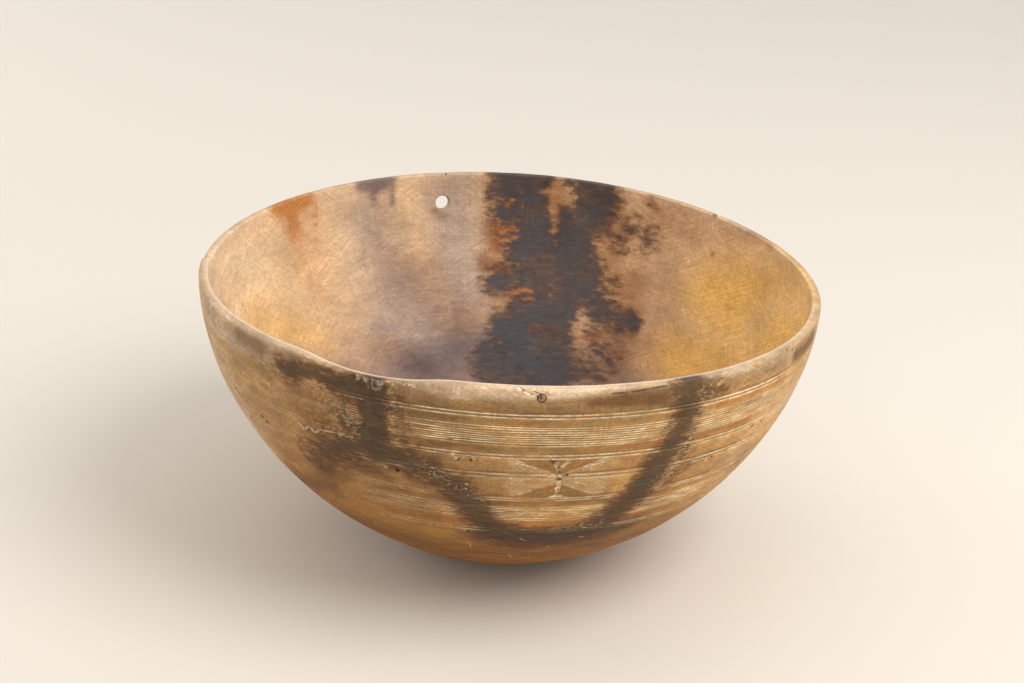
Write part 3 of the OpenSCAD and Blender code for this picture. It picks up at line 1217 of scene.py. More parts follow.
    def settle(self, piece: Object) -> None:
        """Warps, wears and carves the turned shell by moving its points.

        Args:
            piece: the shell.
        """
        wall = self.wall
        place = self.read_points(piece.data)
        r, z = np.hypot(place[:, 0], place[:, 1]), place[:, 2]
        turn = np.arctan2(place[:, 0], -place[:, 1])
        inside = self.is_inside(r, z)
        drop = wall.rim_h - z
        moved = wall.settled(turn, z)
        lip = rise(drop, 3 * MM, -3 * MM)
        moved -= lip * self.lip_wear * (1 + Swell(11, 70, MM, 24)(turn, 0 * drop))
        moved += self.waver(turn, drop, (inside == 0) & (z > self.lines_over))
        for side in Side:
            here = inside == side.value
            r[here] += (wall.radius(side, moved) - wall.radius(side, z))[here]
        slope = self.lean(moved)
        cut = np.where(inside == 0, self.relief(turn, drop), 0)
        cut *= rise(drop, 0, 2.5 * MM) * (z > 4 * MM)
        hollow = self.hollow_wear * Swell(7, 14, 60 * MM)(turn, drop) * (inside == 1)
        hollow *= rise(drop, 0, 10 * MM) * rise(r, 0, 40 * MM)
        r += hollow - cut * np.cos(slope)
        moved += cut * np.sin(slope)
        place = np.stack([r * np.sin(turn), -r * np.cos(turn), moved], -1)
        piece.data.vertices.foreach_set("co", place.astype(np.float32).ravel())
        piece.data.update()

    def lean(self, z: Array) -> Array:
        """Angle by which the outside faces down at heights."""
        above, below = (self.wall.radius(Side.OUTSIDE, z + step) for step in (MM / 2, -MM / 2))
        return np.arctan((above - below) / MM)

    def is_inside(self, r: Array, z: Array) -> Array:
        """1 for points on the hollow's side of the wall, and 0 for the others."""
        middle = (self.wall.radius(Side.OUTSIDE, z) + self.wall.radius(Side.INSIDE, z)) / 2
        return ((z > self.wall.floor_t - NEAR) & (r < middle)).astype(float)

    @staticmethod
    def read_points(mesh: Mesh) -> Array:
        """Reads a mesh's points.

        Args:
            mesh: the mesh.

        Returns:
            A row of x, y and z for each.
        """
        flat = np.zeros(len(mesh.vertices) * 3, np.float32)
        mesh.vertices.foreach_get("co", flat)
        return flat.reshape(-1, 3).astype(float)

    def cutters(self) -> list[BMesh]:
        """Makes everything that is cut out of the shell.

        Returns:
            The lots, whose lumps don't touch.
        """
        draw = random.Random(17)
        lots = CutterLots()
        self.add_hanging_hole(lots)
        self.add_plug_hole(lots)
        for nick in self.nicks:
            self.add_nick(lots, nick)
        for gouge in self.gouges:
            self.add_gouge(lots, gouge)
        for cut in self.rough_cuts:
            self.add_rough_cut(lots, cut, draw)
        for pit in self.pits:
            self.add_pit(lots, pit, draw)
        self.add_chips(lots, draw)
        return lots.lots

    @staticmethod
    def tint(
        tools: BMesh, verts: list, fresh: float = 0, dirt: float = 0, draw: object = None
    ) -> None:
        """Writes how fresh and how dirty a cutter leaves the wood, on the faces round its points.

        Args:
            tools: the lot that the cutter is in.
            verts: the cutter's points.
            fresh: how far it shows light wood.
            dirt: how far dirt fills it.
            draw: random draws that make each face a little different, where given.
        """
        tools.faces.index_update()
        layers = tools.faces.layers.float
        faces = {face for vert in verts for face in vert.link_faces}
        for face in sorted(faces, key=lambda face: face.index):
            vary = draw.uniform(0.45, 1.15) if draw else 1.0
            face[layers["fresh"]] = min(1.0, fresh * vary)
            face[layers["dirt"]] = min(1.0, dirt * vary)

    def add_gouge(self, lots: CutterLots, gouge: Gouge) -> None:
        """Adds a pointed furrow between a gouge's two ends.

        Args:
            lots: where the cutters go.
            gouge: the gouge.
        """
        ends = (gouge.start, gouge.end)
        first, last = (self.wall.seat(az, drop * MM).translation for az, drop in ends)
        middle_az = (gouge.start[0] + gouge.end[0]) / 2
        seat = self.wall.seat(middle_az, (gouge.start[1] + gouge.end[1]) / 2 * MM)
        along = seat.to_3x3().inverted() @ (last - first)
        aim = Matrix.Rotation(math.atan2(along.y, along.x), 4, "Z")
        turn = aim @ Matrix.Rotation(math.pi / 2, 4, "Y")
        size = Matrix.Diagonal((gouge.depth * MM, gouge.half_w * MM, along.length / 2, 1))
        tools = lots.lot(seat.translation, along.length / 2)
        lump = {"u_segments": 8, "v_segments": 8, "radius": 1}
        made = bmesh.ops.create_uvsphere(tools, matrix=seat @ turn @ size, **lump)
        self.tint(tools, made["verts"], fresh=gouge.fresh, dirt=gouge.dirt)

    def add_rough_cut(self, lots: CutterLots, cut: RoughCut, draw: random.Random) -> None:
        """Adds the small overlapping chips of a rough cut, each a crooked lump.

        Args:
            lots: where the cutters go.
            cut: the rough cut.
            draw: random draws.
        """
        for az, drop, half_w in cut.chips():
            az += draw.uniform(-0.1, 0.1)
            seat = self.wall.seat(az, (drop + draw.uniform(-0.3, 0.3)) * MM)
            size = [half_w * draw.uniform(0.7, 1.15), half_w * draw.uniform(0.55, 1.05)]
            size.append(cut.depth * draw.uniform(0.6, 1.15))
            turn = Matrix.Rotation(draw.uniform(0, math.pi), 4, "Z")
            matrix = seat @ turn @ Matrix.Diagonal((*(length * MM for length in size), 1))
            tools = lots.lot(seat.translation, 1.3 * max(size) * MM)
            lump = {"subdivisions": 1, "radius": 1}
            verts = bmesh.ops.create_icosphere(tools, matrix=matrix, **lump)["verts"]
            self.make_crooked(verts, 0.2 * half_w * MM, draw)
            dirty = draw.random() < cut.dirt
            fresh = 0.2 * cut.fresh if dirty else cut.fresh
            self.tint(tools, verts, fresh, draw.uniform(0.5, 1) if dirty else 0, draw)

    @staticmethod
    def make_crooked(verts: list, most: float, draw: random.Random) -> None:
        """Moves each point of a lump a little, up to a distance along each axis."""
        for vert in verts:
            vert.co += Vector([draw.uniform(-most, most) for _ in range(3)])

    def add_pit(self, lots: CutterLots, pit: Pit, draw: random.Random) -> None:
        """Adds a pit's round lump, a little wider or narrower than high.

        Args:
            lots: where the cutters go.
            pit: the pit.
            draw: random draws.
        """
        seat = self.wall.seat(pit.az, pit.drop * MM)
        size = (pit.radius * MM, pit.radius * draw.uniform(0.75, 1.2) * MM, pit.depth * MM, 1)
        tools = lots.lot(seat.translation, max(size[:3]))
        lump = {"u_segments": 12, "v_segments": 8, "radius": 1}
        made = bmesh.ops.create_uvsphere(tools, matrix=seat @ Matrix.Diagonal(size), **lump)
        self.tint(tools, made["verts"], dirt=pit.dirt, fresh=pit.fresh)

    def add_hanging_hole(self, lots: CutterLots) -> None:
        """Adds the hanging hole, whose edges are worn wider on both sides of the wall.

        Args:
            lots: where the cutters go.
        """
        out = Vector(self.hole["axis"]).to_track_quat("Z", "Y").to_matrix().to_4x4()
        seat = Matrix.Translation(Vector(self.hole["pos_m"])) @ out
        radius = self.hole["dims"]["r_mm"] * MM
        reach, flare, half_t, edge = 12 * MM, 1.14, self.wall.lip_t / 2, 1.1 * MM
        tools = lots.lot(seat.translation, 14 * MM)
        outline = [(0, -reach), (flare, -reach), (flare, -half_t), (1.0, edge - half_t)]
        outline += [(share, -z) for share, z in reversed(outline)]
        bore = turn_outline(tools, [(radius * share, z) for share, z in outline], 48)
        bmesh.ops.transform(tools, matrix=seat, verts=bore)

    def add_plug_hole(self, lots: CutterLots) -> None:
        """Adds the plug's hole, a hair wider than the plug.

        Args:
            lots: where the cutters go.
        """
        low, high = self.plug_box
        middle = (low + high) / 2
        across = Matrix.Rotation(math.atan2(middle.x, -middle.y), 4, "Z")
        seat = Matrix.Translation(middle) @ across @ Matrix.Rotation(math.pi / 2, 4, "X")
        radius = (high.z - low.z) / 2 + 0.15 * MM
        ends = {"cap_ends": True, "segments": 32, "depth": 24 * MM}
        tools = lots.lot(middle, 12.5 * MM)
        made = bmesh.ops.create_cone(tools, radius1=radius, radius2=radius, matrix=seat, **ends)
        # The dirt on the hole's wall makes a dark ring round the plug: dirt and painted shade in
        # the gap
        self.tint(tools, made["verts"], dirt=0.8)

    def add_nick(self, lots: CutterLots, nick: Nick) -> None:
        """Adds the wedge of one notch in the lip.

        Args:
            lots: where the cutters go.
            nick: the notch.
        """
        turn = math.radians(nick.az)
        rim = self.wall.rim_h + float(self.wall.lift(turn))
        seat = facing_out(turn, self.wall.rim_r - self.wall.lip_t / 2, rim)
        tools = lots.lot(seat.translation, 12 * MM)
        wedge = bmesh.ops.create_cube(tools, size=2)["verts"]
        for vert in wedge:
            low = vert.co.z < 0
            vert.co.x *= nick.half_w * MM * (nick.bottom if low else nick.top)
            vert.co.x += nick.skew * MM if low else 0
            vert.co.y *= 9 * MM
            vert.co.z = -nick.depth * MM if low else 3 * MM
        bmesh.ops.transform(tools, matrix=seat, verts=wedge)
        self.tint(tools, wedge, dirt=0.7)

    def add_chips(self, lots: CutterLots, draw: random.Random) -> None:
        """Adds small irregular chips along the worn edge of the lip.

        Args:
            lots: where the cutters go.
            draw: random draws.
        """
        chips = list(self.lip_chips)
        for _ in range(self.more_chips):
            chips.append((draw.uniform(60, 300), draw.uniform(0.8, 1.6)))
        for az, size in chips:
            turn = math.radians(az)
            top = self.wall.rim_h + float(self.wall.lift(turn) - self.wall.worn(turn))
            seat = facing_out(turn, self.wall.rim_r + 0.3 * MM, top)
            matrix = seat @ Matrix.Diagonal((draw.uniform(1.2, 2.2), 1, 0.8, 1))
            tools = lots.lot(seat.translation, 2.6 * size * MM)
            lump = {"subdivisions": 2, "radius": size * MM}
            verts = bmesh.ops.create_icosphere(tools, matrix=matrix, **lump)["verts"]
            self.make_crooked(verts, 0.16 * size * MM, draw)
            self.tint(tools, verts, fresh=0.35)

    def carve(self, piece: Object) -> None:
        """Cuts the cutters out of the shell and keeps the result as its mesh.

        Args:
            piece: the shell.
        """
        tools = [new_object(group, "cutters") for group in self.cutters()]
        for tool in tools:
            cut = piece.modifiers.new("carve", "BOOLEAN")
            cut.solver = "MANIFOLD"
            cut.object = tool
        shown = piece.evaluated_get(bpy.context.evaluated_depsgraph_get())
        carved = bpy.data.meshes.new_from_object(shown)
        piece.modifiers.clear()
        piece.data = carved
        for tool in tools:
            bpy.data.objects.remove(tool)
        carved.set_sharp_from_angle(angle=SMOOTH_UNDER)

    def mark(self, piece: Object) -> None:
        """Writes what the finish reads at each point: where it is, and what stains it.

        Args:
            piece: the shell.
        """
        wall = self.wall
        place = self.read_points(piece.data)
        r, z = np.hypot(place[:, 0], place[:, 1]), place[:, 2]
        turn = np.arctan2(place[:, 0], -place[:, 1])
        drop = wall.rim_h - wall.turned(turn, z)
        inside = self.is_inside(r, z)
        drop += self.waver(turn, drop, (inside == 0) & (z > self.lines_over))
        across = np.clip((wall.rim_r - r) / wall.lip_t, 0, 1)
        inside = np.where(drop < self.lip_edge, across, inside)
        crisp = self.crispness(turn, drop) * (inside < 0.5)
        crisp *= drop < self.fine_bottom + self.lines_full
        values = {"drop": drop, "inside": inside, "crisp": crisp}
        # The lip attribute marks a painted highlight along the lip's inner edge
        values["lip"] = self.lip_highlight_mask(turn, drop, inside)
        values |= self.stains(place, inside)
        shown = np.clip(1.5 * crisp, 0, 1) * (1 - 0.7 * values[Stain.SOOT.value])
        values |= {name: value * shown for name, value in self.turned_work(drop).items()}
        lathe = np.stack([place[:, 0], place[:, 1], wall.girth_drop(inside, z, r)], -1)
        az = np.degrees(turn)
        within = (inside > 0.5).astype(float)
        aside = np.where(within, az - 180 * np.sign(az), az - self.cross_az) * self.panel_degree
        panel = np.stack([aside, np.where(within, lathe[:, 2], drop), within], -1)
        for name, value in values.items():
            layer = piece.data.attributes.new(name, "FLOAT", "POINT")
            layer.data.foreach_set("value", value.astype(np.float32))
        for name, value in (("lathe", lathe), ("panel", panel)):
            layer = piece.data.attributes.new(name, "FLOAT_VECTOR", "POINT")
            layer.data.foreach_set("vector", value.astype(np.float32).ravel())

    def lip_highlight_mask(self, turn: Array, drop: Array, inside: Array) -> Array:
        """Where the lip's inner edge gets a painted highlight and a smoother finish: most in front
        and a little to the left.
        """
        edge = rise(drop, 1.28 * MM, -0.8 * MM) * rise(inside, 0.5, 0.3)
        return edge * np.clip(0.1 + np.cos(turn + 0.2), 0, 1)

    def turned_work(self, drop: Array) -> dict[str, Array]:
        """Where the pale and dark edges of the turned lines and the scored bands lie; the edges
        carry a painted highlight and painted shade.

        Args:
            drop: turned drops.

        Returns:
            The shares of all three, by their names.
        """
        crest, groove, scored = (np.zeros_like(drop) for _ in range(3))
        at, half_w = self.crest
        for line in self.lines():
            beside = np.abs(drop - line - at)
            crest = np.maximum(crest, rise(beside, 1.12 * half_w, -half_w))
            for shift in self.groove:
                beside = np.abs(drop - line - shift)
                groove = np.maximum(groove, 1 - rise(beside, 0, self.groove_half_w))
        for band in self.bands:
            edge = np.minimum(drop - band.top, band.bottom - drop) + 0.5 * MM
            scored = np.maximum(scored, rise(edge, 0, MM))
        return {"crest": crest, "groove": groove, "scored": scored}

    def stains(self, place: Array, inside: Array) -> dict[str, Array]:
        """How far each stain covers each point.

        Args:
            place: the points.
            inside: how far across the wall each of them lies.

        Returns:
            The covers, from 0 to 1, by the stain's name.
        """
        covers = {stain.value: np.zeros(len(place)) for stain in Stain}
        on_side = {Side.OUTSIDE: inside < 0.75, Side.INSIDE: inside > 0.25}
        for stroke in OUTSIDE_STROKES + INSIDE_STROKES:
            cover = stroke.cover(place, self.wall) * on_side[stroke.side]
            name = stroke.stain.value
            if stroke.strength < 0:
                covers[name] *= 1 + stroke.strength * cover
            else:
                covers[name] = np.maximum(covers[name], stroke.strength * cover)
        return covers

    def build(self, material: Material) -> Object:
        """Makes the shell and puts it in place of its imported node.

        Args:
            material: the wood's finish.

        Returns:
            The piece.
        """
        piece = new_object(self.turn_blank(), "turned_bowl")
        self.settle(piece)
        self.carve(piece)
        self.mark(piece)
        piece.data.materials.clear()
        piece.data.materials.append(material)
        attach(piece, BODY)
        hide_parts(BOWL_NODE)
        return piece


@dataclass
class RimPlug:
    """The small round plug that fills a hole close under the rim.

    Attributes:
        box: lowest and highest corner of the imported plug.
        wall_t: thickness of the wall round it.
        dome: how far its worn face bulges.
        face: the face's curve, in shares of the radius and of the bulge.
        sunk: how far wear has sunk it into the wall.
    """

    box: tuple[Vector, Vector]
    wall_t: float = 6 * MM
    dome: float = 0.6 * MM
    face: tuple[tuple[float, float], ...] = ((0.0, 1.0), (0.35, 0.9), (0.7, 0.55), (0.9, 0.2))
    sunk: float = 0.35 * MM

    def build(self, material: Material) -> Object:
        """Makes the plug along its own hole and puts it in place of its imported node.

        Args:
            material: the plug's finish.

        Returns:
            The piece.
        """
        low, high = self.box
        radius = (high.z - low.z) / 2 - 0.05 * MM
        middle = (low + high) / 2
        back = 0.3 * MM - self.wall_t
        plug = bmesh.new()
        outline = [(share, bulge * self.dome) for share, bulge in self.face]
        outline += [(1.0, -0.3 * MM), (1.0, back + 0.1 * MM), (0.0, back)]
        turn_outline(plug, [(radius * share, z - self.sunk) for share, z in outline], 32)
        outer_r = math.hypot(middle.x, middle.y) + self.wall_t / 2
        out = facing_out(math.atan2(middle.x, -middle.y), outer_r, middle.z)
        seat = out @ Matrix.Rotation(math.pi / 2, 4, "X")
        bmesh.ops.transform(plug, matrix=seat, verts=plug.verts[:])
        piece = new_object(plug, "round_rim_plug")
        piece.data.materials.append(material)
        piece.data.set_sharp_from_angle(angle=SMOOTH_UNDER)
        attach(piece, BODY)
        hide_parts(PLUG_NODE)
        return piece


@dataclass(frozen=True)
class StainLook:
    """How one stain looks on the wood.

    Attributes:
        colour: its colour at full cover, outside.
        inside: its colour at full cover in the hollow.
        ragged: how much the grain breaks its edge up.
        edge: half the span of cover over which it goes from none to full.
        body: how much of the wood it hides at full cover.
        blend: how it meets the wood: MIX hides it, and MULTIPLY soaks in.
    """

    colour: str
    inside: str
    ragged: float
    edge: float
    body: float = 1.0
    blend: str = "MIX"


@dataclass
class Coat:
    """The colour of a finish while it is built up, one layer over another.

    Attributes:
        tree: the material's nodes.
        colour: the colour so far.
    """

    tree: NodeTree
    colour: Node

    def lay(self, covers: object, over: object, body: float = 1.0, blend: str = "MIX") -> None:
        """Lays a colour over what is there, where all its covers say so.

        Args:
            covers: a node, socket or number from 0 to 1, or a tuple of them.
            over: a node, a socket or a hex colour.
            body: how much of the ground is hidden at full cover.
            blend: how the two colours meet.
        """
        covers = covers if isinstance(covers, tuple) else (covers,)
        cover, *others = covers if body == 1 else (*covers, body)
        for other in others:
            cover = add(self.tree, "Math", (cover, other), operation="MULTIPLY")
        over = srgb(over) if isinstance(over, str) else over
        self.colour = add(self.tree, "MixRGB", (cover, self.colour, over), blend_type=blend)

    def shade(
        self, noise: Node, low: float, high: float, span: float = 0.2, where: object = 1.0
    ) -> None:
        """Darkens and lightens the colour by a noise.

        Args:
            noise: the noise, about 0.5 on average.
            low: what the darkest marks are multiplied by.
            high: what the lightest marks are multiplied by.
            span: how far from 0.5 the noise reaches both.
            where: a node, socket or number, for how far it shows.
        """
        ground = self.colour
        shades = add(self.tree, "MapRange", (noise, 0.5 - span, 0.5 + span, low, high))
        self.lay(1.0, shades, blend="MULTIPLY")
        if where != 1.0:
            shaded, self.colour = self.colour, ground
            self.lay(where, shaded)


@dataclass(frozen=True)
class OldHardwood:
    """Hardwood, turned and hand-finished, then oiled, handled and smoked for decades.

    It gives the eye a dry satin surface: golden where it was kept clean, brown and grey where
    it was handled, nearly black where soot and oil soaked in. Fine streaks run along the turn,
    the scored bands are pale and broken, and knife cuts show lighter wood.

    The first three fields are ramps, of colours at drops in mm. A field in mm is the size of
    one mark, along the turn and down the wall, and scratch_turns are slants in degrees. The
    looks are the stains under the wear, from the lowest up. The soak is where oil has crept on
    round the soot, by soak_reach, and laid_from is the least cover at which a stain is whole.
    The leaf fields place the two hatched leaves: how fast they widen, half their height at
    the cross and at their far end, their length, and the drop of their middle.

    Scored and hatched lines lie a little closer on the object. Finer ones than at these
    pitches don't show in the picture, so both are drawn as coarse as they need to be.
    """

    # The outside ramps grow darker and warmer towards the foot; the warmth low down is partly a
    # painted warm bounce light
    smooth_out: tuple[tuple[float, str], ...] = (
        (0, "#BD9A6E"), (20, "#B9925F"), (70, "#B58953"), (104, "#AA7836"), (135, "#9A651E"),
        (188, "#7E5024"),
    )
    banded_out: tuple[tuple[float, str], ...] = (
        (0, "#C0A17C"), (9, "#AC895D"), (15, "#98764A"), (19.5, "#A58252"), (20.3, "#96713C"),
        (23.6, "#98733F"), (24.4, "#BC9764"), (37.2, "#C19C68"), (38.2, "#8C693C"),
        (41.9, "#8F6C3E"), (43, "#AE8A57"), (47.5, "#AB834E"), (76, "#AA804A"), (80, "#8B6335"),
        (83.6, "#8E6534"), (84.6, "#B88F56"), (98, "#B88B4C"), (99, "#B1762F"), (104, "#A46E31"),
        (106, "#8C6F45"), (112, "#876A3D"), (124, "#966E36"), (140, "#956927"), (188, "#7A4F24"),
    )
    hollow: tuple[tuple[float, str], ...] = (
        (0, "#DFBC96"), (14, "#E2BD92"), (60, "#E1BA8B"), (92, "#CBA681"), (120, "#9E7E68"),
        (175, "#8A6A56"),
    )
    looks: tuple[tuple[Stain, StainLook], ...] = (
        (Stain.AMBER, StainLook("#D2A05D", "#EFB650", 0.3, 0.6, 0.9)),
        (Stain.ASH, StainLook("#BEA486", "#A7958A", 0.3, 0.6, 0.85)),
        (Stain.PLUM, StainLook("#7E574B", "#70605F", 0.6, 0.5, 0.9)),
        (Stain.CREAM, StainLook("#DFC1A0", "#F3D5AC", 0.7, 0.45, 0.9)),
        (Stain.RUST, StainLook("#B06E34", "#C27A38", 0.8, 0.5, 0.9)),
        (Stain.SMOKE, StainLook("#A18A62", "#B28D6A", 0.8, 0.6, 1.0, "MULTIPLY")),
    )
    soot: StainLook = StainLook("#5C4A2E", "#535355", 2.9, 0.34, 0.55)
    soaked: StainLook = StainLook("#867B62", "#828285", 2.9, 0.34, 1.0, "MULTIPLY")
    soak: StainLook = StainLook("#B2946A", "#AC8D6E", 2.2, 0.5, 1.0, "MULTIPLY")
    crumb: StainLook = StainLook("#C4A678", "#8C8280", 0, 0, 0.62)
    soak_reach: float = 0.22
    laid_from: float = 0.18
    soot_thin: float = 0.62
    # A painted bluish reflected sheen on the soot in the hollow
    soot_blue_sheen: str = "#4C5259"
    # Pale wood with a painted highlight, and dirt with painted shade, at the edges of the turned
    # lines and leaves
    pale_wood_and_highlight: str = "#F8E4BC"
    groove_dirt_and_shade: str = "#7C5028"
    # Pale wood with a painted highlight, and dirt with painted shade, on the scored and hatched
    # lines
    scored_pale_and_highlight: str = "#F4DDB0"
    scored_dirt_and_shade: str = "#80552A"
    leaf_colour: str = "#BE9763"
    facet_colour: str = "#8E6736"
    fresh_colour: str = "#F6E3C0"
    fresh_shade: str = "#A4743F"
    dirt_colour: str = "#4A3624"
    # A painted highlight along the lip's inner edge
    lip_highlight_colour: str = "#EADCCB"
    streak_mm: tuple[float, float] = (30, 1.9)
    rubbed_mm: tuple[float, float] = (4.5, 2.0)
    scratch_mm: tuple[float, float] = (30, 1.3)
    scratch_turns: tuple[float, ...] = (-32, 40, 88)
    fibre_mm: tuple[float, float] = (8, 0.6)
    ragged_out_mm: tuple[float, float] = (7, 2.6)
    ragged_in_mm: tuple[float, float] = (8, 4.2)
    smudge_mm: tuple[float, float] = (16, 6)
    mottle_mm: tuple[float, float] = (42, 20)
    score_mm: tuple[float, float] = (26, 1.1)
    score_pitch: float = 1.5 * MM
    score_stray: float = 5.0
    broken_mm: tuple[float, float] = (9, 2.0)
    grit_mm: tuple[float, float] = (2.2, 1.2)
    speck_mm: tuple[float, float] = (5.6, 4.0)
    honey_mm: tuple[float, float] = (20, 5)
    honey_colour: str = "#B8792F"
    leaf_slope: float = 0.45
    leaf_waist: float = 3 * MM
    leaf_length: float = 26 * MM
    leaf_half_h: float = 14 * MM
    leaf_middle: float = 60.8 * MM
    hatch_pitch: float = 1.5 * MM

    @staticmethod
    def grain(tree: NodeTree, size_mm: tuple[float, float], detail: float) -> Node:
        """Noise drawn out along the turning direction.

        Args:
            tree: the material's nodes.
            size_mm: size of one mark along the turn and down the wall.
            detail: octaves of finer marks.

        Returns:
            The noise node, about 0.5 on average.
        """
        place = add(tree, "Attribute", attribute_name="lathe").outputs["Vector"]
        along, down = (1 / (size * MM) for size in size_mm)
        place = add(tree, "Mapping", {"Vector": place, "Scale": (along, along, down)})
        noise = {"Vector": place, "Scale": 1.0, "Detail": detail, "Roughness": 0.6}
        return add(tree, "TexNoise", noise)

    def scratches(self, tree: NodeTree, turn: float) -> Node:
        """Noise drawn out aslant the wall, as rubbing and scraping leave it.

        Args:
            tree: the material's nodes.
            turn: slant in degrees.

        Returns:
            The noise node, about 0.5 on average.
        """
        panel = add(tree, "Attribute", attribute_name="panel").outputs["Vector"]
        turned = add(tree, "Mapping", {"Vector": panel, "Rotation": (0, 0, math.radians(turn))})
        along, across = (1 / (size * MM) for size in self.scratch_mm)
        place = add(tree, "Mapping", {"Vector": turned, "Scale": (along, across, 1)})
        noise = {"Vector": place, "Scale": 1.0, "Detail": 3.0, "Roughness": 0.6}
        return add(tree, "TexNoise", noise)

    def ramp(self, tree: NodeTree, stops: tuple, drop: NodeSocket) -> Node:
        """Colours down the wall.

        Args:
            tree: the material's nodes.
            stops: drops in mm, each with its colour.
            drop: the drop's socket.

        Returns:
            The ramp's node.
        """
        scaled = add(tree, "Math", (drop, 1 / (RAMP_MM * MM)), operation="MULTIPLY")
        ramp = add(tree, "ValToRGB", (scaled,))
        elements = ramp.color_ramp.elements
        while len(elements) < len(stops):
            elements.new(0.5)
        for element, (at_mm, code) in zip(elements, stops):
            element.position = at_mm / RAMP_MM
            element.color = srgb(code)
        return ramp

    def stain_mask(
        self, tree: NodeTree, stain: Stain, look: StainLook, ragged: Node, reach: float = 0.0
    ) -> Node:
        """Where a stain shows: its painted cover, broken up along the grain.

        Args:
            tree: the material's nodes.
            stain: which stain.
            look: how it looks.
            ragged: the noise that breaks its edge.
            reach: how far it spreads past its painted edge, as a share of cover.

        Returns:
            The mask, from 0 to 1.
        """
        cover = add(tree, "Attribute", attribute_name=stain.value).outputs["Fac"]
        shifted = add(tree, "Math", (ragged, 0.5 - reach / look.ragged), operation="SUBTRACT")
        broken = add(tree, "Math", (shifted, look.ragged, cover), operation="MULTIPLY_ADD")
        spans = (broken, 0.5 - look.edge, 0.5 + look.edge)
        mask = add(tree, "MapRange", spans, interpolation_type="SMOOTHSTEP")
        laid = add(tree, "MapRange", (cover, 0.0, self.laid_from))
        return add(tree, "Math", (mask, laid), operation="MULTIPLY")

    @staticmethod
    def tint(tree: NodeTree, look: StainLook, inside: NodeSocket) -> Node:
        """A stain's colour on each side of the wall."""
        return add(tree, "MixRGB", (inside, srgb(look.colour), srgb(look.inside)))

    def read(self, tree: NodeTree) -> dict[str, object]:
        """Everything that the finish reads at a point: what the shell marks there, and noises.

        Args:
            tree: the material's nodes.

        Returns:
            The sockets and nodes, by their names.
        """
        marks = ("drop", "inside", "lip", "crisp", "scored", "crest", "groove")
        marks += (Stain.CRUMB.value, Stain.SMOKE.value, "fresh", "dirt")
        read = {name: add(tree, "Attribute", attribute_name=name).outputs["Fac"] for name in marks}
        read["outer"] = add(tree, "Math", (1.0, read["inside"]), operation="SUBTRACT")
        grains = {
            "grit": (self.grit_mm, 2), "score": (self.score_mm, 2), "fibre": (self.fibre_mm, 3),
            "mottle": (self.mottle_mm, 3), "speck": (self.speck_mm, 4),
            "streak": (self.streak_mm, 4), "broken": (self.broken_mm, 5),
            "rubbed": (self.rubbed_mm, 5), "honey": (self.honey_mm, 6),
            "smudge": (self.smudge_mm, 6), "edge_out": (self.ragged_out_mm, 6),
            "edge_in": (self.ragged_in_mm, 6),
        }
        for name, (size_mm, detail) in grains.items():
            read[name] = self.grain(tree, size_mm, detail)
        specked = add(tree, "MixRGB", (0.5, read["edge_out"], read["speck"]))
        softened = add(tree, "MapRange", (read["edge_in"], 0.0, 1.0, 0.2, 0.8))
        read["ragged"] = add(tree, "MixRGB", (read["inside"], specked, softened))
        return read

    def lay_ground(self, tree: NodeTree, read: dict[str, object]) -> Coat:
        """Starts the finish with the wood and the stains that lie under its wear.

        Args:
            tree: the material's nodes.
            read: what it reads at a point.

        Returns:
            The finish so far.
        """
        ramps = (self.smooth_out, self.banded_out, self.hollow)
        smooth, banded, hollow = (self.ramp(tree, stops, read["drop"]) for stops in ramps)
        coat = Coat(tree, smooth)
        coat.lay(read["crisp"], banded)
        coat.lay(read["inside"], hollow)
        for stain, look in self.looks:
            mask = self.stain_mask(tree, stain, look, read["ragged"])
            coat.lay(mask, self.tint(tree, look, read["inside"]), look.body, look.blend)
        return coat

    def lay_scoring(self, coat: Coat, read: dict[str, object]) -> Node:
        """Lays the pale and dark lines of the scored bands, pale wood and dirt with a painted
        highlight and painted shade.

        Args:
            coat: the finish so far.
            read: what it reads at a point.

        Returns:
            The height of the lines.
        """
        tree, score = coat.tree, read["score"]
        turn = 2 * math.pi / self.score_pitch
        turns = add(tree, "Math", (read["drop"], turn), operation="MULTIPLY")
        waver = add(tree, "Math", (score, self.score_stray, turns), operation="MULTIPLY_ADD")
        wave = add(tree, "Math", (waver,), operation="COSINE")
        kept = add(tree, "MapRange", (read["broken"], 0.32, 0.48))
        # Dark troughs with painted shade and pale ridges with a painted highlight
        for sign, colour in ((-1, self.scored_dirt_and_shade), (1, self.scored_pale_and_highlight)):
            line = add(tree, "MapRange", (wave, 0.1 * sign, 0.7 * sign))
            strong = add(tree, "MapRange", (score, 0.5 - 0.16 * sign, 0.5))
            coat.lay((line, strong, kept, read["scored"]), colour, 0.95)
        return add(tree, "Math", (wave, read["scored"]), operation="MULTIPLY")

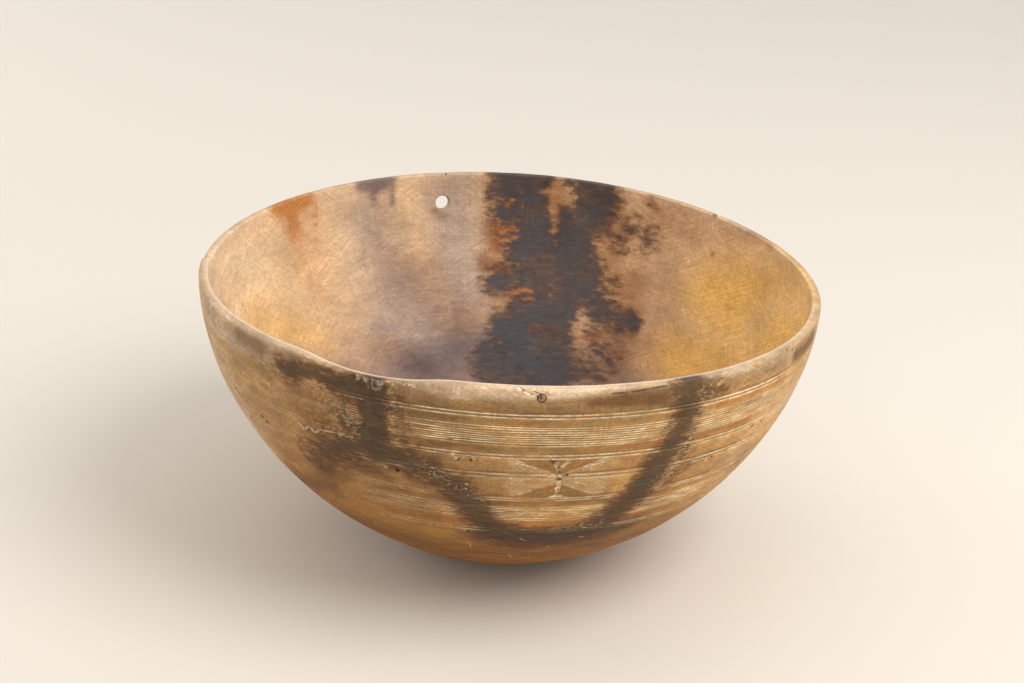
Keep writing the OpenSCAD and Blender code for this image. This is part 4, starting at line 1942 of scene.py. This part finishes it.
    def lay_leaves(self, coat: Coat, read: dict[str, object]) -> Node:
        """Lays the two hatched leaves beside the cross, and the darker facets over and under them.

        Args:
            coat: the finish so far.
            read: what it reads at a point.

        Returns:
            The height of the hatching.
        """
        tree, broken = coat.tree, read["broken"]
        panel = add(tree, "Attribute", attribute_name="panel").outputs["Vector"]
        place = add(tree, "SeparateXYZ", (panel,))
        outer = add(tree, "Math", (1.0, place.outputs["Z"]), operation="SUBTRACT")
        aside = add(tree, "Math", (place.outputs["X"],), operation="ABSOLUTE")
        level = add(tree, "Math", (place.outputs["Y"], self.leaf_middle), operation="SUBTRACT")
        above = add(tree, "Math", (level,), operation="ABSOLUTE")
        slope = add(tree, "Math", (aside, -self.leaf_slope, above), operation="MULTIPLY_ADD")
        ends = ((above, self.leaf_half_h, 0.6 * MM), (aside, self.leaf_length, 6 * MM))
        within = tuple(
            add(tree, "MapRange", (away, end, end + fade, 1.0, 0.0)) for away, end, fade in ends
        )
        within = add(tree, "Math", within, operation="MULTIPLY")
        on_panel = add(tree, "Math", (within, outer), operation="MULTIPLY")
        waist = self.leaf_waist
        facet = add(tree, "MapRange", (slope, waist - 0.3 * MM, waist + 0.4 * MM))
        leaf = add(tree, "Math", (1.0, facet), operation="SUBTRACT")
        leaf = add(tree, "Math", (leaf, on_panel), operation="MULTIPLY")
        coat.lay(leaf, self.leaf_colour, 0.8)
        turn = 2 * math.pi / self.hatch_pitch
        turns = add(tree, "Math", (slope, turn), operation="MULTIPLY")
        wave = add(tree, "Math", (turns,), operation="SINE")
        kept = add(tree, "MapRange", (broken, 0.43, 0.6))
        shown = add(tree, "Math", (kept, leaf), operation="MULTIPLY")
        # The hatch lines' pale and dark sides carry a painted highlight and painted shade
        for sign, colour in ((1, self.scored_pale_and_highlight), (-1, self.scored_dirt_and_shade)):
            line = add(tree, "MapRange", (wave, 0.15 * sign, 0.9 * sign))
            coat.lay((line, shown), colour, 0.6)
        coat.lay((facet, on_panel), self.facet_colour, 0.85)
        off_edge = add(tree, "Math", (slope, waist), operation="SUBTRACT")
        off_edge = add(tree, "Math", (off_edge,), operation="ABSOLUTE")
        leaf_edge = add(tree, "MapRange", (off_edge, 0.25 * MM, 0.7 * MM, 1.0, 0.0))
        leaf_edge = add(tree, "Math", (leaf_edge, on_panel), operation="MULTIPLY")
        worn = add(tree, "MapRange", (broken, 0.42, 0.54))
        # The leaves' pale edges: pale wood with a painted highlight
        coat.lay((leaf_edge, worn), self.pale_wood_and_highlight, 0.4)
        return add(tree, "Math", (wave, shown), operation="MULTIPLY")

    def lay_lines(self, coat: Coat, read: dict[str, object]) -> Node:
        """Lays the dirt and painted shade beside the turned lines, and their pale edges with a
        painted highlight.

        Args:
            coat: the finish so far.
            read: what it reads at a point.

        Returns:
            Where the pale edges show.
        """
        tree = coat.tree
        kept = add(tree, "MapRange", (read["broken"], 0.36, 0.5))
        # Dirt and painted shade beside each turned line
        coat.lay((read["groove"], kept), self.groove_dirt_and_shade, 0.8)
        worn = add(tree, "MapRange", (read["broken"], 0.4, 0.56, 0.15))
        crest = add(tree, "Math", (read["crest"], worn), operation="MULTIPLY")
        # Pale wood with a painted highlight on each line's edge
        coat.lay(crest, self.pale_wood_and_highlight, 0.95)
        return crest

    def lay_wear(self, coat: Coat, read: dict[str, object]) -> None:
        """Lays what handling, oil and rubbing have done to the colour.

        Args:
            coat: the finish so far.
            read: what it reads at a point.
        """
        tree, outer = coat.tree, read["outer"]
        coat.shade(read["mottle"], 0.81, 1.16)
        coat.shade(read["smudge"], 0.76, 1.18, where=outer)
        along = add(tree, "MixRGB", (read["inside"], read["streak"], read["rubbed"]))
        coat.shade(along, 0.87, 1.11)
        honey = add(tree, "MapRange", (read["honey"], 0.5, 0.62))
        smoky = (read[Stain.SMOKE.value], -0.8, outer)
        clean = add(tree, "Math", smoky, operation="MULTIPLY_ADD", use_clamp=True)
        coat.lay((honey, clean), self.honey_colour, 0.42)
        coat.shade(read["grit"], 0.84, 1.16, where=outer)
        coat.shade(read["fibre"], 0.88, 1.1)
        for turn, patches in zip(self.scratch_turns, ("mottle", "smudge", "streak")):
            where = add(tree, "MapRange", (read[patches], 0.42, 0.58, 0.15))
            coat.shade(self.scratches(tree, turn), 0.82, 1.18, where=where)

    def lay_soot(self, coat: Coat, read: dict[str, object]) -> None:
        """Lays the oily edge of the soot, the wood soaked by it, its speckled crust, and a painted
        bluish sheen on it in the hollow.

        Args:
            coat: the finish so far.
            read: what it reads at a point.
        """
        tree, inside, mottle = coat.tree, read["inside"], read["mottle"]
        crept = self.stain_mask(tree, Stain.SOOT, self.soak, read["ragged"], self.soak_reach)
        coat.lay(crept, self.tint(tree, self.soak, inside), blend="MULTIPLY")
        burnt = Coat(tree, self.tint(tree, self.soot, inside))
        burnt.shade(read["broken"], 0.66, 1.4)
        burnt.shade(read["fibre"], 0.78, 1.25)
        burnt.shade(read["speck"], 0.62, 1.6, 0.16)
        # Patches of painted bluish sheen over the soot in the hollow
        sheen_patches = add(tree, "MapRange", (mottle, 0.44, 0.56))
        burnt.lay((sheen_patches, inside), self.soot_blue_sheen, 0.7)
        body = add(tree, "MapRange", (mottle, 0.38, 0.6, self.soot_thin))
        flecks = add(tree, "MapRange", (read["speck"], 0.52, 0.6, 0.0, 0.55))
        flecks = add(tree, "Math", (flecks, read["outer"]), operation="MULTIPLY")
        unflecked = add(tree, "Math", (1.0, flecks), operation="SUBTRACT")
        sooted = (self.stain_mask(tree, Stain.SOOT, self.soot, read["ragged"]), body, unflecked)
        coat.lay(sooted, self.tint(tree, self.soaked, inside), blend="MULTIPLY")
        coat.lay(sooted, burnt.colour, self.soot.body)

    def lay_cuts(self, coat: Coat, read: dict[str, object]) -> None:
        """Lays the crumbs of crust, the painted highlight on the lip's inner edge, and the bare
        wood and dirt in cuts.

        Args:
            coat: the finish so far.
            read: what it reads at a point.
        """
        tree, grit = coat.tree, read["grit"]
        spot = add(tree, "MapRange", (grit, 0.54, 0.6))
        crumb = self.tint(tree, self.crumb, read["inside"])
        coat.lay((spot, read[Stain.CRUMB.value]), crumb, self.crumb.body)
        # Painted highlight along the lip's inner edge
        coat.lay(read["lip"], self.lip_highlight_colour, 0.6)
        lit = add(tree, "MapRange", (grit, 0.36, 0.58))
        bare = add(tree, "MixRGB", (lit, srgb(self.fresh_shade), srgb(self.fresh_colour)))
        coat.lay(read["fresh"], bare)
        coat.lay(read["dirt"], self.dirt_colour, 0.85)

    def build(self) -> Material:
        """Makes the wood's material.

        Returns:
            The material.
        """
        material = new_material("old_hardwood_turned_and_handled")
        tree = material.node_tree
        read = self.read(tree)
        coat = self.lay_ground(tree, read)
        score, hatch = self.lay_scoring(coat, read), self.lay_leaves(coat, read)
        crest = self.lay_lines(coat, read)
        self.lay_wear(coat, read)
        self.lay_soot(coat, read)
        # The painted highlight of the line edges shows faintly through the soot
        coat.lay(crest, self.pale_wood_and_highlight, 0.15)
        self.lay_cuts(coat, read)
        height = read["streak"]
        for marks, share in ((read["fibre"], 0.5), (score, 0.3), (hatch, 0.25)):
            height = add(tree, "Math", (marks, share, height), operation="MULTIPLY_ADD")
        bump = add(tree, "Bump", {"Strength": 0.6, "Distance": 0.35 * MM, "Height": height})
        rough = add(tree, "MapRange", (read["streak"], 0.3, 0.7, 0.5, 0.74))
        rough = add(tree, "Math", (read["lip"], -0.22, rough), operation="MULTIPLY_ADD")
        shine = {"Roughness": rough, "IOR": 1.5, "Specular IOR Level": 0.4}
        wood = add(tree, "BsdfPrincipled", {"Base Color": coat.colour, "Normal": bump, **shine})
        add(tree, "OutputMaterial", {"Surface": wood})
        return material


@dataclass(frozen=True)
class PlugWood:
    """A whittled peg of a harder, darker wood, worn smooth: a small dull brown dome.

    Attributes:
        colour: its worn wood.
        edge_colour: the dirt in its pores.
        pore_mm: size of the pores and of the worn spots.
    """

    colour: str = "#94745F"
    edge_colour: str = "#4A3223"
    pore_mm: float = 2.2

    def build(self) -> Material:
        """Makes the plug's material.

        Returns:
            The material.
        """
        material = new_material("dark_peg_wood_worn_smooth")
        tree = material.node_tree
        place = add(tree, "TexCoord").outputs["Object"]
        scale = 1 / (self.pore_mm * MM)
        noise = add(tree, "TexNoise", {"Vector": place, "Scale": scale, "Detail": 4.0})
        worn = add(tree, "MapRange", (noise, 0.4, 0.6))
        colour = add(tree, "MixRGB", (worn, srgb(self.edge_colour), srgb(self.colour)))
        bump = add(tree, "Bump", {"Strength": 0.4, "Distance": 0.2 * MM, "Height": noise})
        peg = {"Base Color": colour, "Roughness": 0.6, "Normal": bump}
        add(tree, "OutputMaterial", {"Surface": add(tree, "BsdfPrincipled", peg)})
        return material


@dataclass(frozen=True)
class Studio:
    """The plain pale floor, the soft light and the camera at the photograph's angle.

    Attributes:
        target: what the camera and the lamps point at.
        distance: from there to the camera.
        elevation: how far the camera looks down, in degrees.
        roll: how far it is tilted, in degrees.
        lens_mm: its focal length in mm.
        sensor_mm: width of its sensor in mm.
        floor_size: half the floor's width.
        floor_colour: the floor's colour.
        world_strength: light of the surroundings.
    """

    target: Vector = field(default_factory=lambda: Vector((2.8, 0, 137.2)) * MM)
    distance: float = 1314 * MM
    elevation: float = 22.76
    roll: float = 2.65
    lens_mm: float = 70.3
    sensor_mm: float = 36.0
    floor_size: float = 8.0
    floor_colour: str = "#E6DDCF"
    world_strength: float = 0.74

    def add_camera(self) -> None:
        """Adds the scene's camera."""
        up_angle = math.radians(self.elevation)
        back = Vector((0, -math.cos(up_angle), math.sin(up_angle)))
        data = bpy.data.cameras.new("camera")
        data.lens = self.lens_mm
        data.sensor_width = self.sensor_mm
        camera = bpy.data.objects.new("camera", data)
        camera.location = self.target + back * self.distance
        upright = Euler((math.pi / 2 - up_angle, 0, 0)).to_matrix()
        rolled = upright @ Matrix.Rotation(math.radians(self.roll), 3, "Z")
        camera.rotation_euler = rolled.to_euler()
        bpy.context.scene.collection.objects.link(camera)
        bpy.context.scene.camera = camera

    def add_floor(self) -> None:
        """Adds the plain pale floor under the bowl."""
        plane = bmesh.new()
        bmesh.ops.create_grid(plane, x_segments=1, y_segments=1, size=self.floor_size)
        floor = new_object(plane, "floor")
        material = new_material("plain_pale_floor")
        tree = material.node_tree
        paint = {"Base Color": srgb(self.floor_colour), "Roughness": 0.9}
        add(tree, "OutputMaterial", {"Surface": add(tree, "BsdfPrincipled", paint)})
        floor.data.materials.append(material)

    def add_surroundings(self) -> None:
        """Adds the pale room round the bowl."""
        world = bpy.data.worlds.new("pale_room")
        bpy.context.scene.world = world
        world.use_nodes = True
        tree = world.node_tree
        tree.nodes.clear()
        room = {"Color": srgb("#FFFFFF"), "Strength": self.world_strength}
        add(tree, "OutputWorld", {"Surface": add(tree, "Background", room)})

    def add_lamp(self, name: str, place: tuple[float, ...], size: float, power: float) -> None:
        """Adds a broad soft lamp that points at the bowl.

        Args:
            name: its name.
            place: where it stands.
            size: how wide it is.
            power: its power in watts.
        """
        data = bpy.data.lights.new(name, "AREA")
        data.shape = "DISK"
        data.size = size
        data.energy = power
        lamp = bpy.data.objects.new(name, data)
        lamp.location = place
        aim = self.target - lamp.location
        lamp.rotation_euler = aim.to_track_quat("-Z", "Y").to_euler()
        bpy.context.scene.collection.objects.link(lamp)

    def build(self) -> None:
        """Makes the camera, the floor and the light, with a weaker lamp at the back left."""
        self.add_camera()
        self.add_floor()
        self.add_surroundings()
        self.add_lamp("soft_key", (1.3, -0.9, 1.9), 1.6, 38)
        self.add_lamp("left_wash", (-2.0, 1.15, 0.8), 1.4, 13)


def main() -> None:
    """Builds the studio and the bowl's two pieces in order."""
    logging.basicConfig(level=logging.INFO, format="%(name)s: %(message)s")
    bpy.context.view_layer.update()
    bpy.context.scene.view_settings.view_transform = "Standard"
    Studio().build()
    plug_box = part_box(PLUG_NODE)
    mounts = {mount["name"]: mount for mount in frame["record"]["mounts"]}
    shell = BowlShell(Wall(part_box(BOWL_NODE)[1].x), mounts[HOLE_MOUNT], plug_box)
    for part, finish in ((shell, OldHardwood()), (RimPlug(plug_box), PlugWood())):
        piece = part.build(finish.build())
        points, faces = len(piece.data.vertices), len(piece.data.polygons)
        LOG.info("%s: %d points, %d faces", piece.name, points, faces)


if __name__ == "__main__":
    main()
